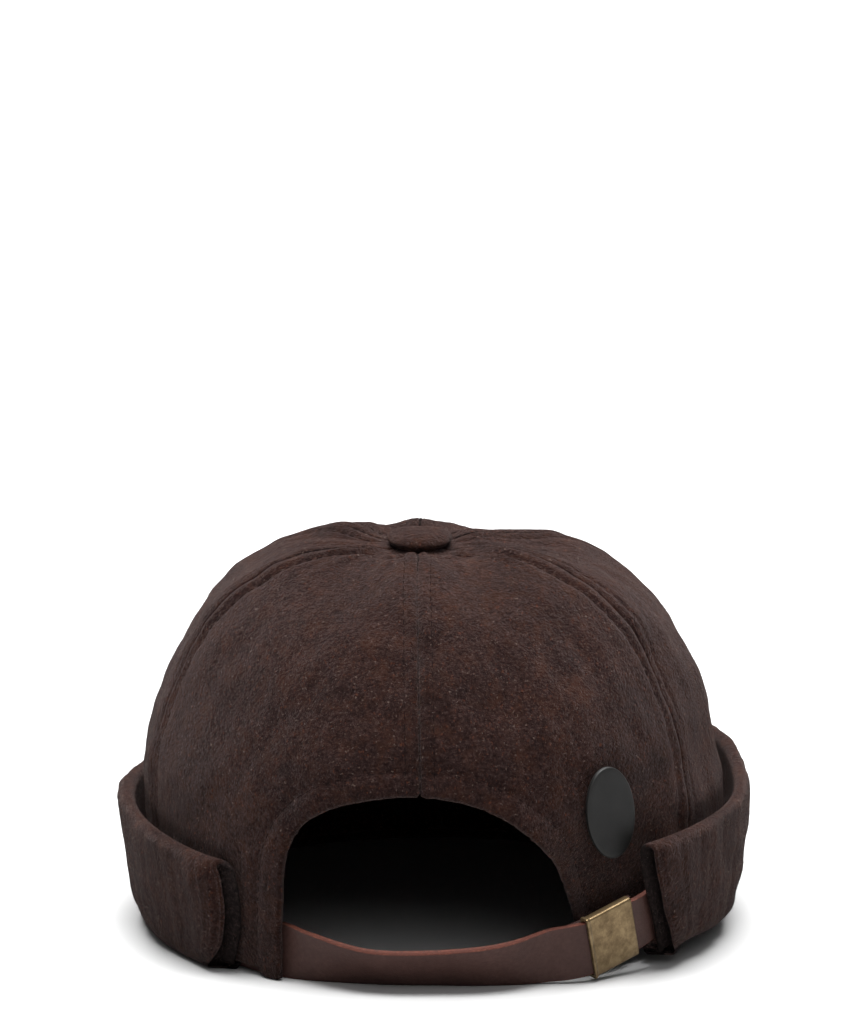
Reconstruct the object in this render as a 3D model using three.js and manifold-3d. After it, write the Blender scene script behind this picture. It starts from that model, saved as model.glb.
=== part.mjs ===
// Cuffed six-panel cap of brushed wool, in millimetres, +Z up, at its real size.
// It stands on its turned-up cuff at z = 0. The front faces -Y, the open back faces +Y, and +X is the
// wearer's left. Angles go round from the front, in degrees, positive towards the wearer's left.

import * as THREE from "three";
import { mergeVertices } from "three/addons/utils/BufferGeometryUtils.js";
import Module from "manifold-3d";

const wasm = await Module();
wasm.setup();

// Cloth and gaps
const CLOTH = 2.2;
const GAP = 0.35;
const SEAM_GAP = 0.36;

// Brings the middle of the model over the origin
const CENTRING = [0.1, 2.9];

// Crown: the outer face, row by row from the hem up to the hole under the button.
// left, right, front and rear are the reaches from the section's centre, which drifts as the crown rises.
const CROWN = table(["height", "left", "right", "front", "rear", "centre_x", "centre_y"], [
  [0, 84.5, 84.5, 92, 94.5, 0, 1],
  [15, 88.6, 88.6, 95, 94, 0, 1],
  [30, 90.8, 90.8, 96.5, 93.5, 0, 1],
  [45, 91.6, 90.6, 97, 92, 0, 1.5],
  [58, 90.4, 88.4, 95, 89.8, 0.2, 2],
  [70, 87, 86.4, 91, 85.5, 0.5, 3],
  [82, 81.8, 82.8, 85, 78.8, 1, 4.5],
  [93, 75.8, 77.6, 78.2, 70.5, 1.6, 6.5],
  [103, 68.8, 71.4, 69.6, 60, 2.2, 9],
  [110.5, 60.8, 64.6, 60, 49, 2.8, 11],
  [116, 51.8, 55, 48.6, 37.5, 3.2, 12.5],
  [119.8, 41.6, 43.6, 36.4, 27.5, 3.5, 13.5],
  [121.9, 30.6, 31.4, 26.2, 20.4, 4.1, 15.2],
  [122.2, 20, 20.7, 19, 15.4, 4.5, 15.6],
  [121.4, 13, 13, 13, 13, 4.5, 15.6],
  [120.7, 8.4, 8.4, 8.4, 8.4, 4.5, 15.6],
  [120.7, 3.4, 3.4, 3.4, 3.4, 4.5, 15.6],
]);
const SQUARENESS = 2.1;
const CROWN_STEPS = 19;
const PANEL_COLUMNS = [0, 0.045, 0.11, 0.22, 0.34, 0.45, 0.55, 0.66, 0.78, 0.89, 0.955, 1];

// Seams between the gores: their angles at six rows of the crown, going round from the front
const SEAM_ROWS = [0, 4, 6, 8, 10.5, 16];
const SEAMS = [
  [-1.5, -1, -0.5, 0, 0, 0],
  [63, 66, 67, 65, 60, 57],
  [111, 109, 108, 109, 112, 115],
  [177.5, 177.5, 177.5, 177.5, 177, 177],
  [234, 238, 239.5, 240, 242, 245],
  [296, 293.5, 293, 295, 301, 305],
  [358.5, 359, 359.5, 360, 360, 360],
];

// The seams stand up a little on the shoulders, where the cloth between them sinks.
const SEAM_RISE = 1.1;
const SEAM_RISE_ROW = 10;
const SEAM_RISE_ROWS = 3;

// Soft folds: each runs straight from one place on the crown to another. depth is negative in a hollow.
// The last two are the strap's pull on the flank where it is buckled.
const FOLDS = table(["from_angle", "from_row", "to_angle", "to_row", "width", "depth"], [
  [-8, 7.2, -19, 4, 7, 1.4],
  [-22, 8.2, -34, 7, 15, -1.6],
  [-5, 9, -9, 7, 8, -1.4],
  [-100, 6, -104, 3, 7, 1.2],
  [-116, 6.4, -113, 4, 9, -1.4],
  [130, 6.4, 146, 3.4, 12, -1],
  [-146, 0, -144, 0.9, 24, -4.5],
  [-150, 1.4, -140, 2.2, 18, -2.4],
  [50, 12.2, -5, 12.2, 9, 1.8],
  [158, 12.2, 180, 12.2, 9, -1.8],
  [-158, 12.2, -180, 12.2, 9, -1.8],
  [-72, 11.4, -98, 10.2, 13, -1.4],
]);

// Arched opening at the back, seen along Y, anticlockwise from the wearer's left
const ARCH = table(["x", "z"], [
  [46.2, -6],
  [46.1, 10],
  [45.7, 26],
  [44.6, 38],
  [40.4, 47.4],
  [33.6, 53],
  [23, 57],
  [9, 58.8],
  [-4, 58],
  [-14, 55.2],
  [-23.4, 50.2],
  [-31.6, 43],
  [-37.6, 33.6],
  [-42, 20],
  [-45.2, 6],
  [-46.4, -6],
]);
const ARCH_STEPS = 36;
const ARCH_NEAR = 40;
const ARCH_FAR = 130;

// Cuff: its foot, its top edge, how far its inner face stands off the crown low and high, and its thickness
const CUFF = table(["angle", "foot", "top", "low_gap", "top_gap", "thick"], [
  [-143.4, 2.8, 41.5, 3, 4.4, 5],
  [-134, 5, 42.4, 3.4, 4.4, 5],
  [-122, 5, 43.6, 4, 4.4, 5],
  [-108, 3.2, 44.6, 3.4, 4.2, 5],
  [-90, 1.2, 46.4, 2.2, 4, 5],
  [-72, 0.2, 50.4, 2, 4.6, 5],
  [-56, 0, 50.2, 2, 4.4, 5],
  [-35, 0, 43, 1.4, 3, 5.2],
  [0, 0, 37.4, 1, 2.4, 5.2],
  [35, 0, 39, 1, 2.4, 5.2],
  [65, 0, 41.4, 1.8, 2.8, 5],
  [90, 0, 42, 2, 3, 5],
  [115, 0, 39.6, 1.6, 3.2, 5],
  [134, 0, 36.6, 1, 2.4, 5.2],
  [144.2, 0, 35.6, 0.8, 1.6, 5.4],
]);
const CUFF_STEPS = 70;
const FOOT_THICK = 2.3;
const ROUND_SHARE = 0.2;
// The turned-up cloth is fullest just above the fold at the foot.
const ROLL = 4;
const ROLL_HEIGHT = 18;
const ROLL_EDGE = table(["height", "back"], [
  [0, 6.6],
  [1.2, 3.8],
  [3.4, 1.8],
  [7, 0.5],
  [12, 0],
]);
// Each end is rounded: its edge draws back at the foot and at the top.
const END_FOOT = 4;
const END_TOP = 2.4;
const END_LEAN = 10.6;
const END_BEND = 26;
const HEM_STEP = [0.5, 3];
const END_INSETS = table(["back", "inset"], [
  [0, 1.9],
  [0.5, 1],
  [1.5, 0.3],
]);

// Button
const BUTTON_RADIUS = 10.1;
const BUTTON_HEIGHT = 4.9;
const BUTTON_GAP = 0.5;
const SHANK_RADIUS = 2.5;
const SHANK_HEAD_RADIUS = 5.5;
const SHANK_HEAD = 1;
const BUTTON_SIDES = 28;

// Strap: its lower outer edge. angle is measured from the back, positive towards the wearer's left.
const STRAP = table(["angle", "offset", "lift", "lean"], [
  [42, -2.9, 0.4, 4],
  [35, -3.1, 0.3, 1],
  [30, -3.7, 0.1, 3],
  [25, -5, 0, 17],
  [19, -7, 0, 31],
  [11.5, -8.3, 0, 41],
  [0, -9, 0, 41],
  [-8.5, -7.6, 0, 36],
  [-15, -6, 0.1, 28],
  [-22, -3.6, 0.5, 12],
  [-26, -0.45, 1.2, 6],
  [-30, 1.55, 2.4, 5],
  [-35.5, 1.9, 4.8, 5],
  [-41, 3.2, 7.2, 5],
  [-47, 3.2, 9.4, 5],
  [-53, 3.8, 10.8, 5],
  [-60, 5.2, 11.6, 5],
]);
const STRAP_WIDTH = 17;
const STRAP_THICK = 1.7;
const STRAP_STEPS = 44;

// Buckle and its tab
const BUCKLE_ANGLE = -35.5;
const BUCKLE_LENGTH = 17.4;
const BUCKLE_HEIGHT = 19.6;
const BUCKLE_WALL = 0.9;
const BUCKLE_SLOT = 3.7;
const BUCKLE_ROUND = 0.4;
const BUCKLE_LIP = 0.4;
const BUCKLE_RIVET = 6.6;
const TAB = table(["angle", "offset", "lift", "lean"], [
  [-29, -4.1, 2.6, 5],
  [-35.5, -2.25, 5.6, 5],
  [-43, -1.75, 8.8, 5],
]);
const TAB_STEPS = 8;
const TAB_WIDTH = 15;
const TAB_THICK = 1.3;

// Badge: a plain plate, tilted as it is worn
const BADGE_ANGLE = -145;
const BADGE_ROW = 3.45;
const BADGE_WIDTH = 18;
const BADGE_HEIGHT = 29;
const BADGE_THICK = 1.6;
const BADGE_BEVEL = 0.5;
const BADGE_TILT = 12;
const BADGE_GAP = 0.8;
const BADGE_SIDES = 16;
const BADGE_POST_SPAN = 12;
const BADGE_RIVET = 4.4;

// Rivets that hold the buckle and the badge to the cloth
const RIVET_RADIUS = 1.1;
const RIVET_HOLE = 1.6;
const RIVET_HEAD_RADIUS = 2.8;
const RIVET_HEAD = 0.8;
const RIVET_ROOT = 0.5;
const RIVET_SIDES = 12;
const HOLE_DEPTH = 14;

const UP = new THREE.Vector3(0, 0, 1);

function table(columns, rows) {
  return rows.map((row, i) => Object.fromEntries([["row", i], ...columns.map((name, k) => [name, row[k]])]));
}

// Smooth value of one column at a place along the key column.
function curve(rows, key, column, at) {
  const last = rows.length - 1;
  const rising = rows[last][key] > rows[0][key];
  let i = 0;
  while (i < last - 1 && (rising ? at > rows[i + 1][key] : at < rows[i + 1][key])) i += 1;
  const slope = (k) => {
    const a = rows[Math.max(k - 1, 0)];
    const b = rows[Math.min(k + 1, last)];
    return (b[column] - a[column]) / (b[key] - a[key]);
  };
  const span = rows[i + 1][key] - rows[i][key];
  const f = (at - rows[i][key]) / span;
  const start = rows[i][column] * (1 + 2 * f) * (1 - f) ** 2 + slope(i) * span * f * (1 - f) ** 2;
  const end = rows[i + 1][column] * f * f * (3 - 2 * f) + slope(i + 1) * span * f * f * (f - 1);
  return start + end;
}

function radians(degrees) {
  return THREE.MathUtils.degToRad(degrees);
}

// Reach of the crown's outline from its centre, in one direction of one section.
function reach(angle, row) {
  const s = Math.sin(radians(angle));
  const c = Math.cos(radians(angle));
  const wide = curve(CROWN, "row", s > 0 ? "left" : "right", row);
  const deep = curve(CROWN, "row", c > 0 ? "front" : "rear", row);
  return ((Math.abs(s) / wide) ** SQUARENESS + (Math.abs(c) / deep) ** SQUARENESS) ** (-1 / SQUARENESS);
}

// Place at one angle and distance from the centre of one of the crown's sections.
function place(angle, distance, height, row = 0) {
  const a = radians(angle);
  const x = curve(CROWN, "row", "centre_x", row) + distance * Math.sin(a);
  return new THREE.Vector3(x, curve(CROWN, "row", "centre_y", row) - distance * Math.cos(a), height);
}

function crownSkin(angle, row) {
  return place(angle, reach(angle, row), curve(CROWN, "row", "height", row), row);
}

function crownNormal(angle, row) {
  const step = 0.05;
  const top = CROWN.length - 1;
  const low = crownSkin(angle, Math.max(row - step, 0));
  const high = crownSkin(angle, Math.min(row + step, top));
  const before = crownSkin(angle - 1, row);
  const after = crownSkin(angle + 1, row);
  return after.sub(before).cross(high.sub(low)).normalize();
}

// Height of a fold's soft ridge or hollow at one place of the crown.
function fold(shape, angle, row) {
  const size = reach(shape.from_angle, shape.from_row);
  const spacing = 12;
  const flat = (a, r) => new THREE.Vector2(radians(a) * size, r * spacing);
  const start = flat(shape.from_angle, shape.from_row);
  const end = flat(shape.to_angle, shape.to_row);
  const here = flat(angle, row);
  const along = end.clone().sub(start);
  const f = THREE.MathUtils.clamp(here.clone().sub(start).dot(along) / along.lengthSq(), 0, 1);
  const off = here.distanceTo(start.add(along.multiplyScalar(f)));
  return shape.depth * Math.exp(-((off / shape.width) ** 2));
}

function wrap(angle) {
  return angle > 180 ? angle - 360 : angle;
}

// Angle of one seam at one row, from 0 at the front to 360.
function seamAngle(seam, row) {
  const rows = SEAM_ROWS.map((at, i) => ({ at, angle: SEAMS[seam][i] }));
  return curve(rows, "at", "angle", row);
}

// How far across its gore a place is, from 0 on one seam to 1 on the next.
function acrossGore(angle, row) {
  const turn = angle < seamAngle(0, row) ? angle + 360 : angle;
  let gore = 0;
  while (gore < SEAMS.length - 2 && turn > seamAngle(gore + 1, row)) gore += 1;
  const first = seamAngle(gore, row);
  return (turn - first) / (seamAngle(gore + 1, row) - first);
}

function relief(angle, row) {
  const rise = Math.exp(-(((row - SEAM_RISE_ROW) / SEAM_RISE_ROWS) ** 2));
  const seams = SEAM_RISE * rise * Math.cos(2 * Math.PI * acrossGore(angle, row));
  return FOLDS.reduce((sum, shape) => sum + fold(shape, angle, row), seams);
}

function cuffFoot(angle) {
  const along = THREE.MathUtils.clamp(angle, CUFF[0].angle, CUFF.at(-1).angle);
  return Math.max(curve(CUFF, "angle", "foot", along), 0);
}

// The cuff's foot lifts the crown's hem, except past the cuff's ends.
function hemHeight(angle) {
  const past = Math.max(angle - CUFF.at(-1).angle, CUFF[0].angle - angle);
  const onFoot = 1 - THREE.MathUtils.smoothstep(past, HEM_STEP[0], HEM_STEP[1]);
  return cuffFoot(angle) + (FOOT_THICK + GAP) * onFoot;
}

function crownPoint(angle, row, depth) {
  const a = wrap(angle);
  const point = crownSkin(a, row).addScaledVector(crownNormal(a, row), relief(a, row) - depth);
  point.z += hemHeight(a) * Math.max(1 - row, 0);
  return point;
}

function geometryOf(points, triangles) {
  const geometry = new THREE.BufferGeometry();
  geometry.setAttribute("position", new THREE.Float32BufferAttribute(points.flatMap((p) => p.toArray()), 3));
  geometry.setIndex(triangles.flat());
  return geometry;
}

// Closed sheet between two faces of columns by rows. point(column, row, side) is a place on face 0 or 1.
function sheet(columns, rows, point) {
  const points = [];
  const triangles = [];
  for (const side of [0, 1]) {
    for (let r = 0; r <= rows; r += 1) {
      for (let c = 0; c <= columns; c += 1) points.push(point(c, r, side));
    }
  }
  const index = (c, r, side) => (side * (rows + 1) + r) * (columns + 1) + c;
  const quad = (a, b, c, d) => triangles.push([a, b, c], [a, c, d]);
  for (let r = 0; r < rows; r += 1) {
    for (let c = 0; c < columns; c += 1) {
      quad(index(c, r, 0), index(c + 1, r, 0), index(c + 1, r + 1, 0), index(c, r + 1, 0));
      quad(index(c, r, 1), index(c, r + 1, 1), index(c + 1, r + 1, 1), index(c + 1, r, 1));
    }
    quad(index(0, r, 0), index(0, r + 1, 0), index(0, r + 1, 1), index(0, r, 1));
    quad(index(columns, r, 0), index(columns, r, 1), index(columns, r + 1, 1), index(columns, r + 1, 0));
  }
  for (let c = 0; c < columns; c += 1) {
    quad(index(c, 0, 0), index(c, 0, 1), index(c + 1, 0, 1), index(c + 1, 0, 0));
    quad(index(c, rows, 0), index(c + 1, rows, 0), index(c + 1, rows, 1), index(c, rows, 1));
  }
  return geometryOf(points, triangles);
}

// Closed solid through rings of points, one ring after another, with a flat cap at each end.
function loft(rings) {
  const count = rings[0].ring.length;
  const points = rings.flatMap((entry) => entry.ring);
  const triangles = [];
  for (let k = 0; k < rings.length - 1; k += 1) {
    for (let i = 0; i < count; i += 1) {
      const j = (i + 1) % count;
      const [a, b, c, d] = [k * count + i, k * count + j, (k + 1) * count + j, (k + 1) * count + i];
      triangles.push([a, b, c], [a, c, d]);
    }
  }
  const last = (rings.length - 1) * count;
  for (const [a, b, c] of THREE.ShapeUtils.triangulateShape(rings[0].outline, [])) {
    triangles.push([a, c, b]);
  }
  for (const [a, b, c] of THREE.ShapeUtils.triangulateShape(rings.at(-1).outline, [])) {
    triangles.push([last + a, last + b, last + c]);
  }
  return geometryOf(points, triangles);
}

function solid(geometry) {
  const bare = geometry.clone();
  bare.deleteAttribute("normal");
  bare.deleteAttribute("uv");
  const merged = mergeVertices(bare, 1e-4);
  return new wasm.Manifold(new wasm.Mesh({
    numProp: 3,
    vertProperties: new Float32Array(merged.attributes.position.array),
    triVerts: new Uint32Array(merged.index.array),
  }));
}

function bufferOf(manifold) {
  const mesh = manifold.getMesh();
  const geometry = new THREE.BufferGeometry();
  geometry.setAttribute("position", new THREE.Float32BufferAttribute(mesh.vertProperties, 3));
  geometry.setIndex(Array.from(mesh.triVerts));
  return geometry;
}

// Columns of one panel, with one on each side of the hem's step where the cuff ends
function panelColumns(gore) {
  const [first, next] = [seamAngle(gore, 0), seamAngle(gore + 1, 0)];
  const steps = HEM_STEP.flatMap((past) => [CUFF.at(-1).angle + past, 360 + CUFF[0].angle - past]);
  const shares = steps.map((angle) => (angle - first) / (next - first)).filter((x) => x > 0 && x < 1);
  const plain = PANEL_COLUMNS.filter((share) => shares.every((step) => Math.abs(step - share) > 0.03));
  return [...plain, ...shares].sort((a, b) => a - b);
}

function panel(gore) {
  const columns = panelColumns(gore);
  const point = (c, r, side) => {
    const row = ((CROWN.length - 1) * r) / CROWN_STEPS;
    const [first, next] = [seamAngle(gore, row), seamAngle(gore + 1, row)];
    const ease = THREE.MathUtils.radToDeg(SEAM_GAP / 2 / reach(wrap((first + next) / 2), row));
    const angle = first + ease + (next - first - 2 * ease) * columns[c];
    return crownPoint(angle, row, side * CLOTH);
  };
  return sheet(columns.length - 1, CROWN_STEPS, point);
}

function archPrism() {
  const shape = new THREE.Shape();
  for (let i = 0; i <= ARCH_STEPS; i += 1) {
    const row = ((ARCH.length - 1) * i) / ARCH_STEPS;
    const [x, z] = [curve(ARCH, "row", "x", row), curve(ARCH, "row", "z", row)];
    if (i === 0) shape.moveTo(x, z);
    else shape.lineTo(x, z);
  }
  const prism = new THREE.ExtrudeGeometry(shape, { depth: ARCH_FAR - ARCH_NEAR, bevelEnabled: false });
  return solid(prism.rotateX(Math.PI / 2).translate(0, ARCH_FAR, 0));
}

// How far the crown's face stands out from its hem at one height.
function crownOffset(angle, height) {
  let row = 0;
  while (curve(CROWN, "row", "height", row) < height) row += 0.02;
  return reach(angle, row) - reach(angle, 0);
}

// Outline of the cuff across its length, as [offset from the crown's hem, height] in order round it.
function cuffOutline(angle, inset) {
  const [top, low, high, thick] = ["top", "low_gap", "top_gap", "thick"].map((name) => (
    curve(CUFF, "angle", name, angle)
  ));
  const foot = cuffFoot(angle);
  const crest = top - inset;
  const inner = (z) => crownOffset(angle, z) + low + ((high - low) * z) / top + inset;
  const outer = (z) => inner(z) + thick - 2 * inset + ROLL * Math.max(1 - z / ROLL_HEIGHT, 0) ** 2;
  const round = (thick - 2 * inset) * ROUND_SHARE;
  const full = 1 - (2 * inset) / thick;
  const shoulder = crest - 3 * round;
  return [
    [-CLOTH + inset, foot + 0.7],
    [-CLOTH + 0.8 + inset, foot],
    ...ROLL_EDGE.map(({ height, back }) => [outer(foot + height) - back * full, foot + height]),
    [outer((crest + foot) / 2), (crest + foot) / 2],
    [outer(crest * 0.75), crest * 0.75],
    [outer(shoulder), shoulder],
    [outer(crest) - round, crest - round],
    [(inner(crest) + outer(crest)) / 2, crest],
    [inner(crest) + round, crest - round],
    [inner(shoulder), shoulder],
    [inner(crest * 0.6), crest * 0.6],
    [inner(crest * 0.38), crest * 0.38],
    [inner(foot + FOOT_THICK + 1.6), foot + FOOT_THICK + 1.6],
    [inner(foot + FOOT_THICK) - 0.4, foot + FOOT_THICK],
    [-CLOTH + inset, foot + FOOT_THICK],
  ];
}

function cuff() {
  const [start, end] = [CUFF[0].angle, CUFF.at(-1).angle];
  const perMillimetre = THREE.MathUtils.radToDeg(1 / CROWN[0].left);
  const length = end - start;
  const edge = (3.5 * perMillimetre) / length;
  const stations = END_INSETS.map(({ back, inset }) => ({ share: (back * perMillimetre) / length, inset }));
  for (let i = 0; i <= CUFF_STEPS; i += 1) {
    stations.push({ share: edge + ((1 - 2 * edge) * i) / CUFF_STEPS, inset: 0 });
  }
  for (const { back, inset } of [...END_INSETS].reverse()) {
    stations.push({ share: 1 - (back * perMillimetre) / length, inset });
  }
  const rings = stations.reverse().map(({ share, inset }) => {
    const angle = start + length * share;
    const section = cuffOutline(angle, inset);
    const ring = section.map(([offset, height]) => {
      const toEnd = Math.min(angle - start, end - angle);
      const level = height / curve(CUFF, "angle", "top", angle);
      const pull = endPull(level, share < 0.5) * Math.max(1 - toEnd / END_BEND, 0);
      const turned = angle + (share < 0.5 ? pull : -pull);
      return place(turned, reach(turned, 0) + offset, height);
    });
    return { ring, outline: section.map(([x, y]) => new THREE.Vector2(x, y)) };
  });
  return loft(rings);
}

// Degrees by which a cuff end draws back at a share of its height: the right one leans, the left is round.
function endPull(share, right) {
  const top = END_TOP * Math.max((share - 0.6) / 0.4, 0) ** 2;
  const foot = right ? END_LEAN * Math.max(1 - share, 0) : END_FOOT * Math.max(1 - share / 0.55, 0) ** 2;
  return top + foot;
}

function button() {
  const centre = CROWN.at(-1);
  const seat = centre.height + BUTTON_GAP;
  const under = centre.height - CLOTH - GAP;
  const profile = [
    [0, under - SHANK_HEAD],
    [SHANK_HEAD_RADIUS, under - SHANK_HEAD],
    [SHANK_HEAD_RADIUS, under],
    [SHANK_RADIUS, under],
    [SHANK_RADIUS, seat],
    [BUTTON_RADIUS - 2, seat],
    [BUTTON_RADIUS - 0.5, seat + 1.1],
    [BUTTON_RADIUS, seat + 2.3],
    [BUTTON_RADIUS - 0.6, seat + 3.5],
    [BUTTON_RADIUS - 2.4, seat + 4.4],
    [BUTTON_RADIUS - 5.6, seat + BUTTON_HEIGHT - 0.3],
    [0, seat + BUTTON_HEIGHT],
  ].map(([r, z]) => new THREE.Vector2(r, z));
  const lathe = new THREE.LatheGeometry(profile, BUTTON_SIDES).rotateX(Math.PI / 2);
  return lathe.translate(centre.centre_x, centre.centre_y, 0);
}

// Frame of a band on its lower outer edge, at one angle from the back: x along it towards the wearer's
// right, y up its width, z out of its outer face.
function bandFrame(rows, backAngle) {
  const edge = (b) => {
    const angle = wrap(180 - b);
    const distance = reach(angle, 0) + curve(rows, "angle", "offset", b);
    return place(angle, distance, curve(rows, "angle", "lift", b));
  };
  const along = edge(backAngle - 0.5).sub(edge(backAngle + 0.5)).normalize();
  const level = along.clone().cross(UP).normalize();
  const lean = radians(curve(rows, "angle", "lean", backAngle));
  const up = level.clone().cross(along).multiplyScalar(Math.cos(lean)).addScaledVector(level, Math.sin(lean));
  return new THREE.Matrix4().makeBasis(along, up, along.clone().cross(up)).setPosition(edge(backAngle));
}

function band(rows, steps, width, thick) {
  const corner = 0.35;
  const section = [
    [corner, -thick],
    [width - corner, -thick],
    [width, corner - thick],
    [width, -corner],
    [width - corner, 0],
    [corner, 0],
    [0, -corner],
    [0, corner - thick],
  ];
  const outline = section.map(([y, z]) => new THREE.Vector2(y, z));
  const [start, end] = [rows[0].angle, rows.at(-1).angle];
  const rings = [];
  for (let i = 0; i <= steps; i += 1) {
    const frame = bandFrame(rows, start + ((end - start) * i) / steps);
    rings.push({ ring: section.map(([y, z]) => new THREE.Vector3(0, y, z).applyMatrix4(frame)), outline });
  }
  return loft(rings);
}

// Rivet along z: its post starts inside the piece that it carries, and its head clears the last layer.
function rivet(length) {
  const profile = [
    [0, -length - RIVET_HEAD],
    [RIVET_HEAD_RADIUS, -length - RIVET_HEAD],
    [RIVET_HEAD_RADIUS, -length],
    [RIVET_RADIUS, -length],
    [RIVET_RADIUS, RIVET_ROOT],
    [0, RIVET_ROOT],
  ].map(([r, z]) => new THREE.Vector2(r, z));
  return new THREE.LatheGeometry(profile, RIVET_SIDES).rotateX(Math.PI / 2);
}

function rivetHole(frame, x, y, z) {
  const hole = new THREE.CylinderGeometry(RIVET_HOLE, RIVET_HOLE, HOLE_DEPTH, RIVET_SIDES);
  return solid(hole.rotateX(Math.PI / 2).translate(x, y, z).applyMatrix4(frame));
}

function buckleFrame() {
  return bandFrame(STRAP, BUCKLE_ANGLE);
}

// Flat sleeve round the strap, with a lip on the edge where the strap goes in
function buckle() {
  const middle = -STRAP_THICK / 2;
  const rise = (BUCKLE_HEIGHT - STRAP_WIDTH) / 2;
  const half = BUCKLE_SLOT / 2;
  const ring = new THREE.Shape();
  const [low, high] = [-rise, STRAP_WIDTH + rise];
  const [back, front] = [middle - half - BUCKLE_WALL, middle + half + BUCKLE_WALL];
  ring.moveTo(low + BUCKLE_ROUND, back).lineTo(high - BUCKLE_ROUND, back);
  ring.lineTo(high, back + BUCKLE_ROUND).lineTo(high, front - BUCKLE_ROUND);
  ring.lineTo(high - BUCKLE_ROUND, front).lineTo(low + BUCKLE_ROUND, front);
  ring.lineTo(low, front - BUCKLE_ROUND).lineTo(low, back + BUCKLE_ROUND);
  const slot = new THREE.Path();
  slot.moveTo(low + BUCKLE_WALL, middle - half).lineTo(low + BUCKLE_WALL, middle + half);
  slot.lineTo(high - BUCKLE_WALL, middle + half).lineTo(high - BUCKLE_WALL, middle - half);
  ring.holes.push(slot);
  const sleeve = new THREE.ExtrudeGeometry(ring, { depth: BUCKLE_LENGTH, bevelEnabled: false });
  sleeve.applyMatrix4(new THREE.Matrix4().makeBasis(
    new THREE.Vector3(0, 1, 0),
    new THREE.Vector3(0, 0, 1),
    new THREE.Vector3(1, 0, 0),
  )).translate(-BUCKLE_LENGTH / 2, 0, 0);
  const lip = new THREE.BoxGeometry(BUCKLE_WALL, BUCKLE_HEIGHT - 2 * BUCKLE_ROUND, BUCKLE_WALL);
  lip.translate((BUCKLE_WALL - BUCKLE_LENGTH) / 2, STRAP_WIDTH / 2, front + BUCKLE_LIP - BUCKLE_WALL / 2);
  const post = rivet(BUCKLE_RIVET).translate(0, STRAP_WIDTH / 2, back);
  return bufferOf(solid(sleeve).add(solid(lip)).add(solid(post))).applyMatrix4(buckleFrame());
}

function buckleHole() {
  return rivetHole(buckleFrame(), 0, STRAP_WIDTH / 2, -HOLE_DEPTH / 2 - BUCKLE_SLOT / 2);
}

function buckleTab() {
  return bufferOf(solid(band(TAB, TAB_STEPS, TAB_WIDTH, TAB_THICK)).subtract(buckleHole()));
}

function badgeFrame() {
  const across = crownPoint(BADGE_ANGLE + 4, BADGE_ROW, 0).sub(crownPoint(BADGE_ANGLE - 4, BADGE_ROW, 0));
  const rise = crownPoint(BADGE_ANGLE, BADGE_ROW + 0.5, 0).sub(crownPoint(BADGE_ANGLE, BADGE_ROW - 0.5, 0));
  const out = across.cross(rise).normalize();
  const level = UP.clone().cross(out).normalize();
  const along = level.applyAxisAngle(out, radians(BADGE_TILT));
  const origin = crownPoint(BADGE_ANGLE, BADGE_ROW, -BADGE_GAP);
  return new THREE.Matrix4().makeBasis(along, out.clone().cross(along), out).setPosition(origin);
}

function badge() {
  const shape = new THREE.Shape();
  const [across, up] = [BADGE_WIDTH / 2 - BADGE_BEVEL, BADGE_HEIGHT / 2 - BADGE_BEVEL];
  shape.absellipse(0, 0, across, up, 0, 2 * Math.PI);
  const plate = new THREE.ExtrudeGeometry(shape, {
    depth: BADGE_THICK - 2 * BADGE_BEVEL,
    bevelThickness: BADGE_BEVEL,
    bevelSize: BADGE_BEVEL,
    bevelSegments: 1,
    curveSegments: BADGE_SIDES,
  });
  let whole = solid(plate.translate(0, 0, BADGE_BEVEL));
  for (const y of [-BADGE_POST_SPAN / 2, BADGE_POST_SPAN / 2]) {
    whole = whole.add(solid(rivet(BADGE_RIVET).translate(0, y, 0)));
  }
  return bufferOf(whole).applyMatrix4(badgeFrame());
}

function badgeHoles() {
  const frame = badgeFrame();
  const [low, high] = [-BADGE_POST_SPAN / 2, BADGE_POST_SPAN / 2];
  return rivetHole(frame, 0, low, 0).add(rivetHole(frame, 0, high, 0));
}

const wool = { color: 0x3a2622, roughness: 0.95, metalness: 0 };
const leather = { color: 0x4a2f28, roughness: 0.5, metalness: 0 };
const brass = { color: 0x7d6640, roughness: 0.45, metalness: 1 };
const blackMetal = { color: 0x1c1c1b, roughness: 0.5, metalness: 0.6 };

const group = new THREE.Group();

function put(name, geometry, finish) {
  const centred = geometry.translate(...CENTRING, 0);
  const mesh = new THREE.Mesh(centred, new THREE.MeshStandardMaterial(finish));
  mesh.name = name;
  group.add(mesh);
}

const arch = archPrism();
put("front_left_panel", panel(0), wool);
put("side_left_panel", panel(1), wool);
put("back_left_panel", bufferOf(solid(panel(2)).subtract(arch)), wool);
const rivetHoles = badgeHoles().add(buckleHole());
put("back_right_panel", bufferOf(solid(panel(3)).subtract(arch).subtract(rivetHoles)), wool);
put("side_right_panel", panel(4), wool);
put("front_right_panel", panel(5), wool);
put("cuff", cuff(), wool);
put("top_button", button(), wool);
put("strap", band(STRAP, STRAP_STEPS, STRAP_WIDTH, STRAP_THICK), leather);
put("buckle_tab", buckleTab(), leather);
put("buckle", buckle(), brass);
put("badge", badge(), blackMetal);

export default group;
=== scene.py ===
from math import asin, atan, cos, degrees, pi, radians, sin, sqrt

import bpy
import numpy as np
from mathutils import Matrix, Vector


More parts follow.
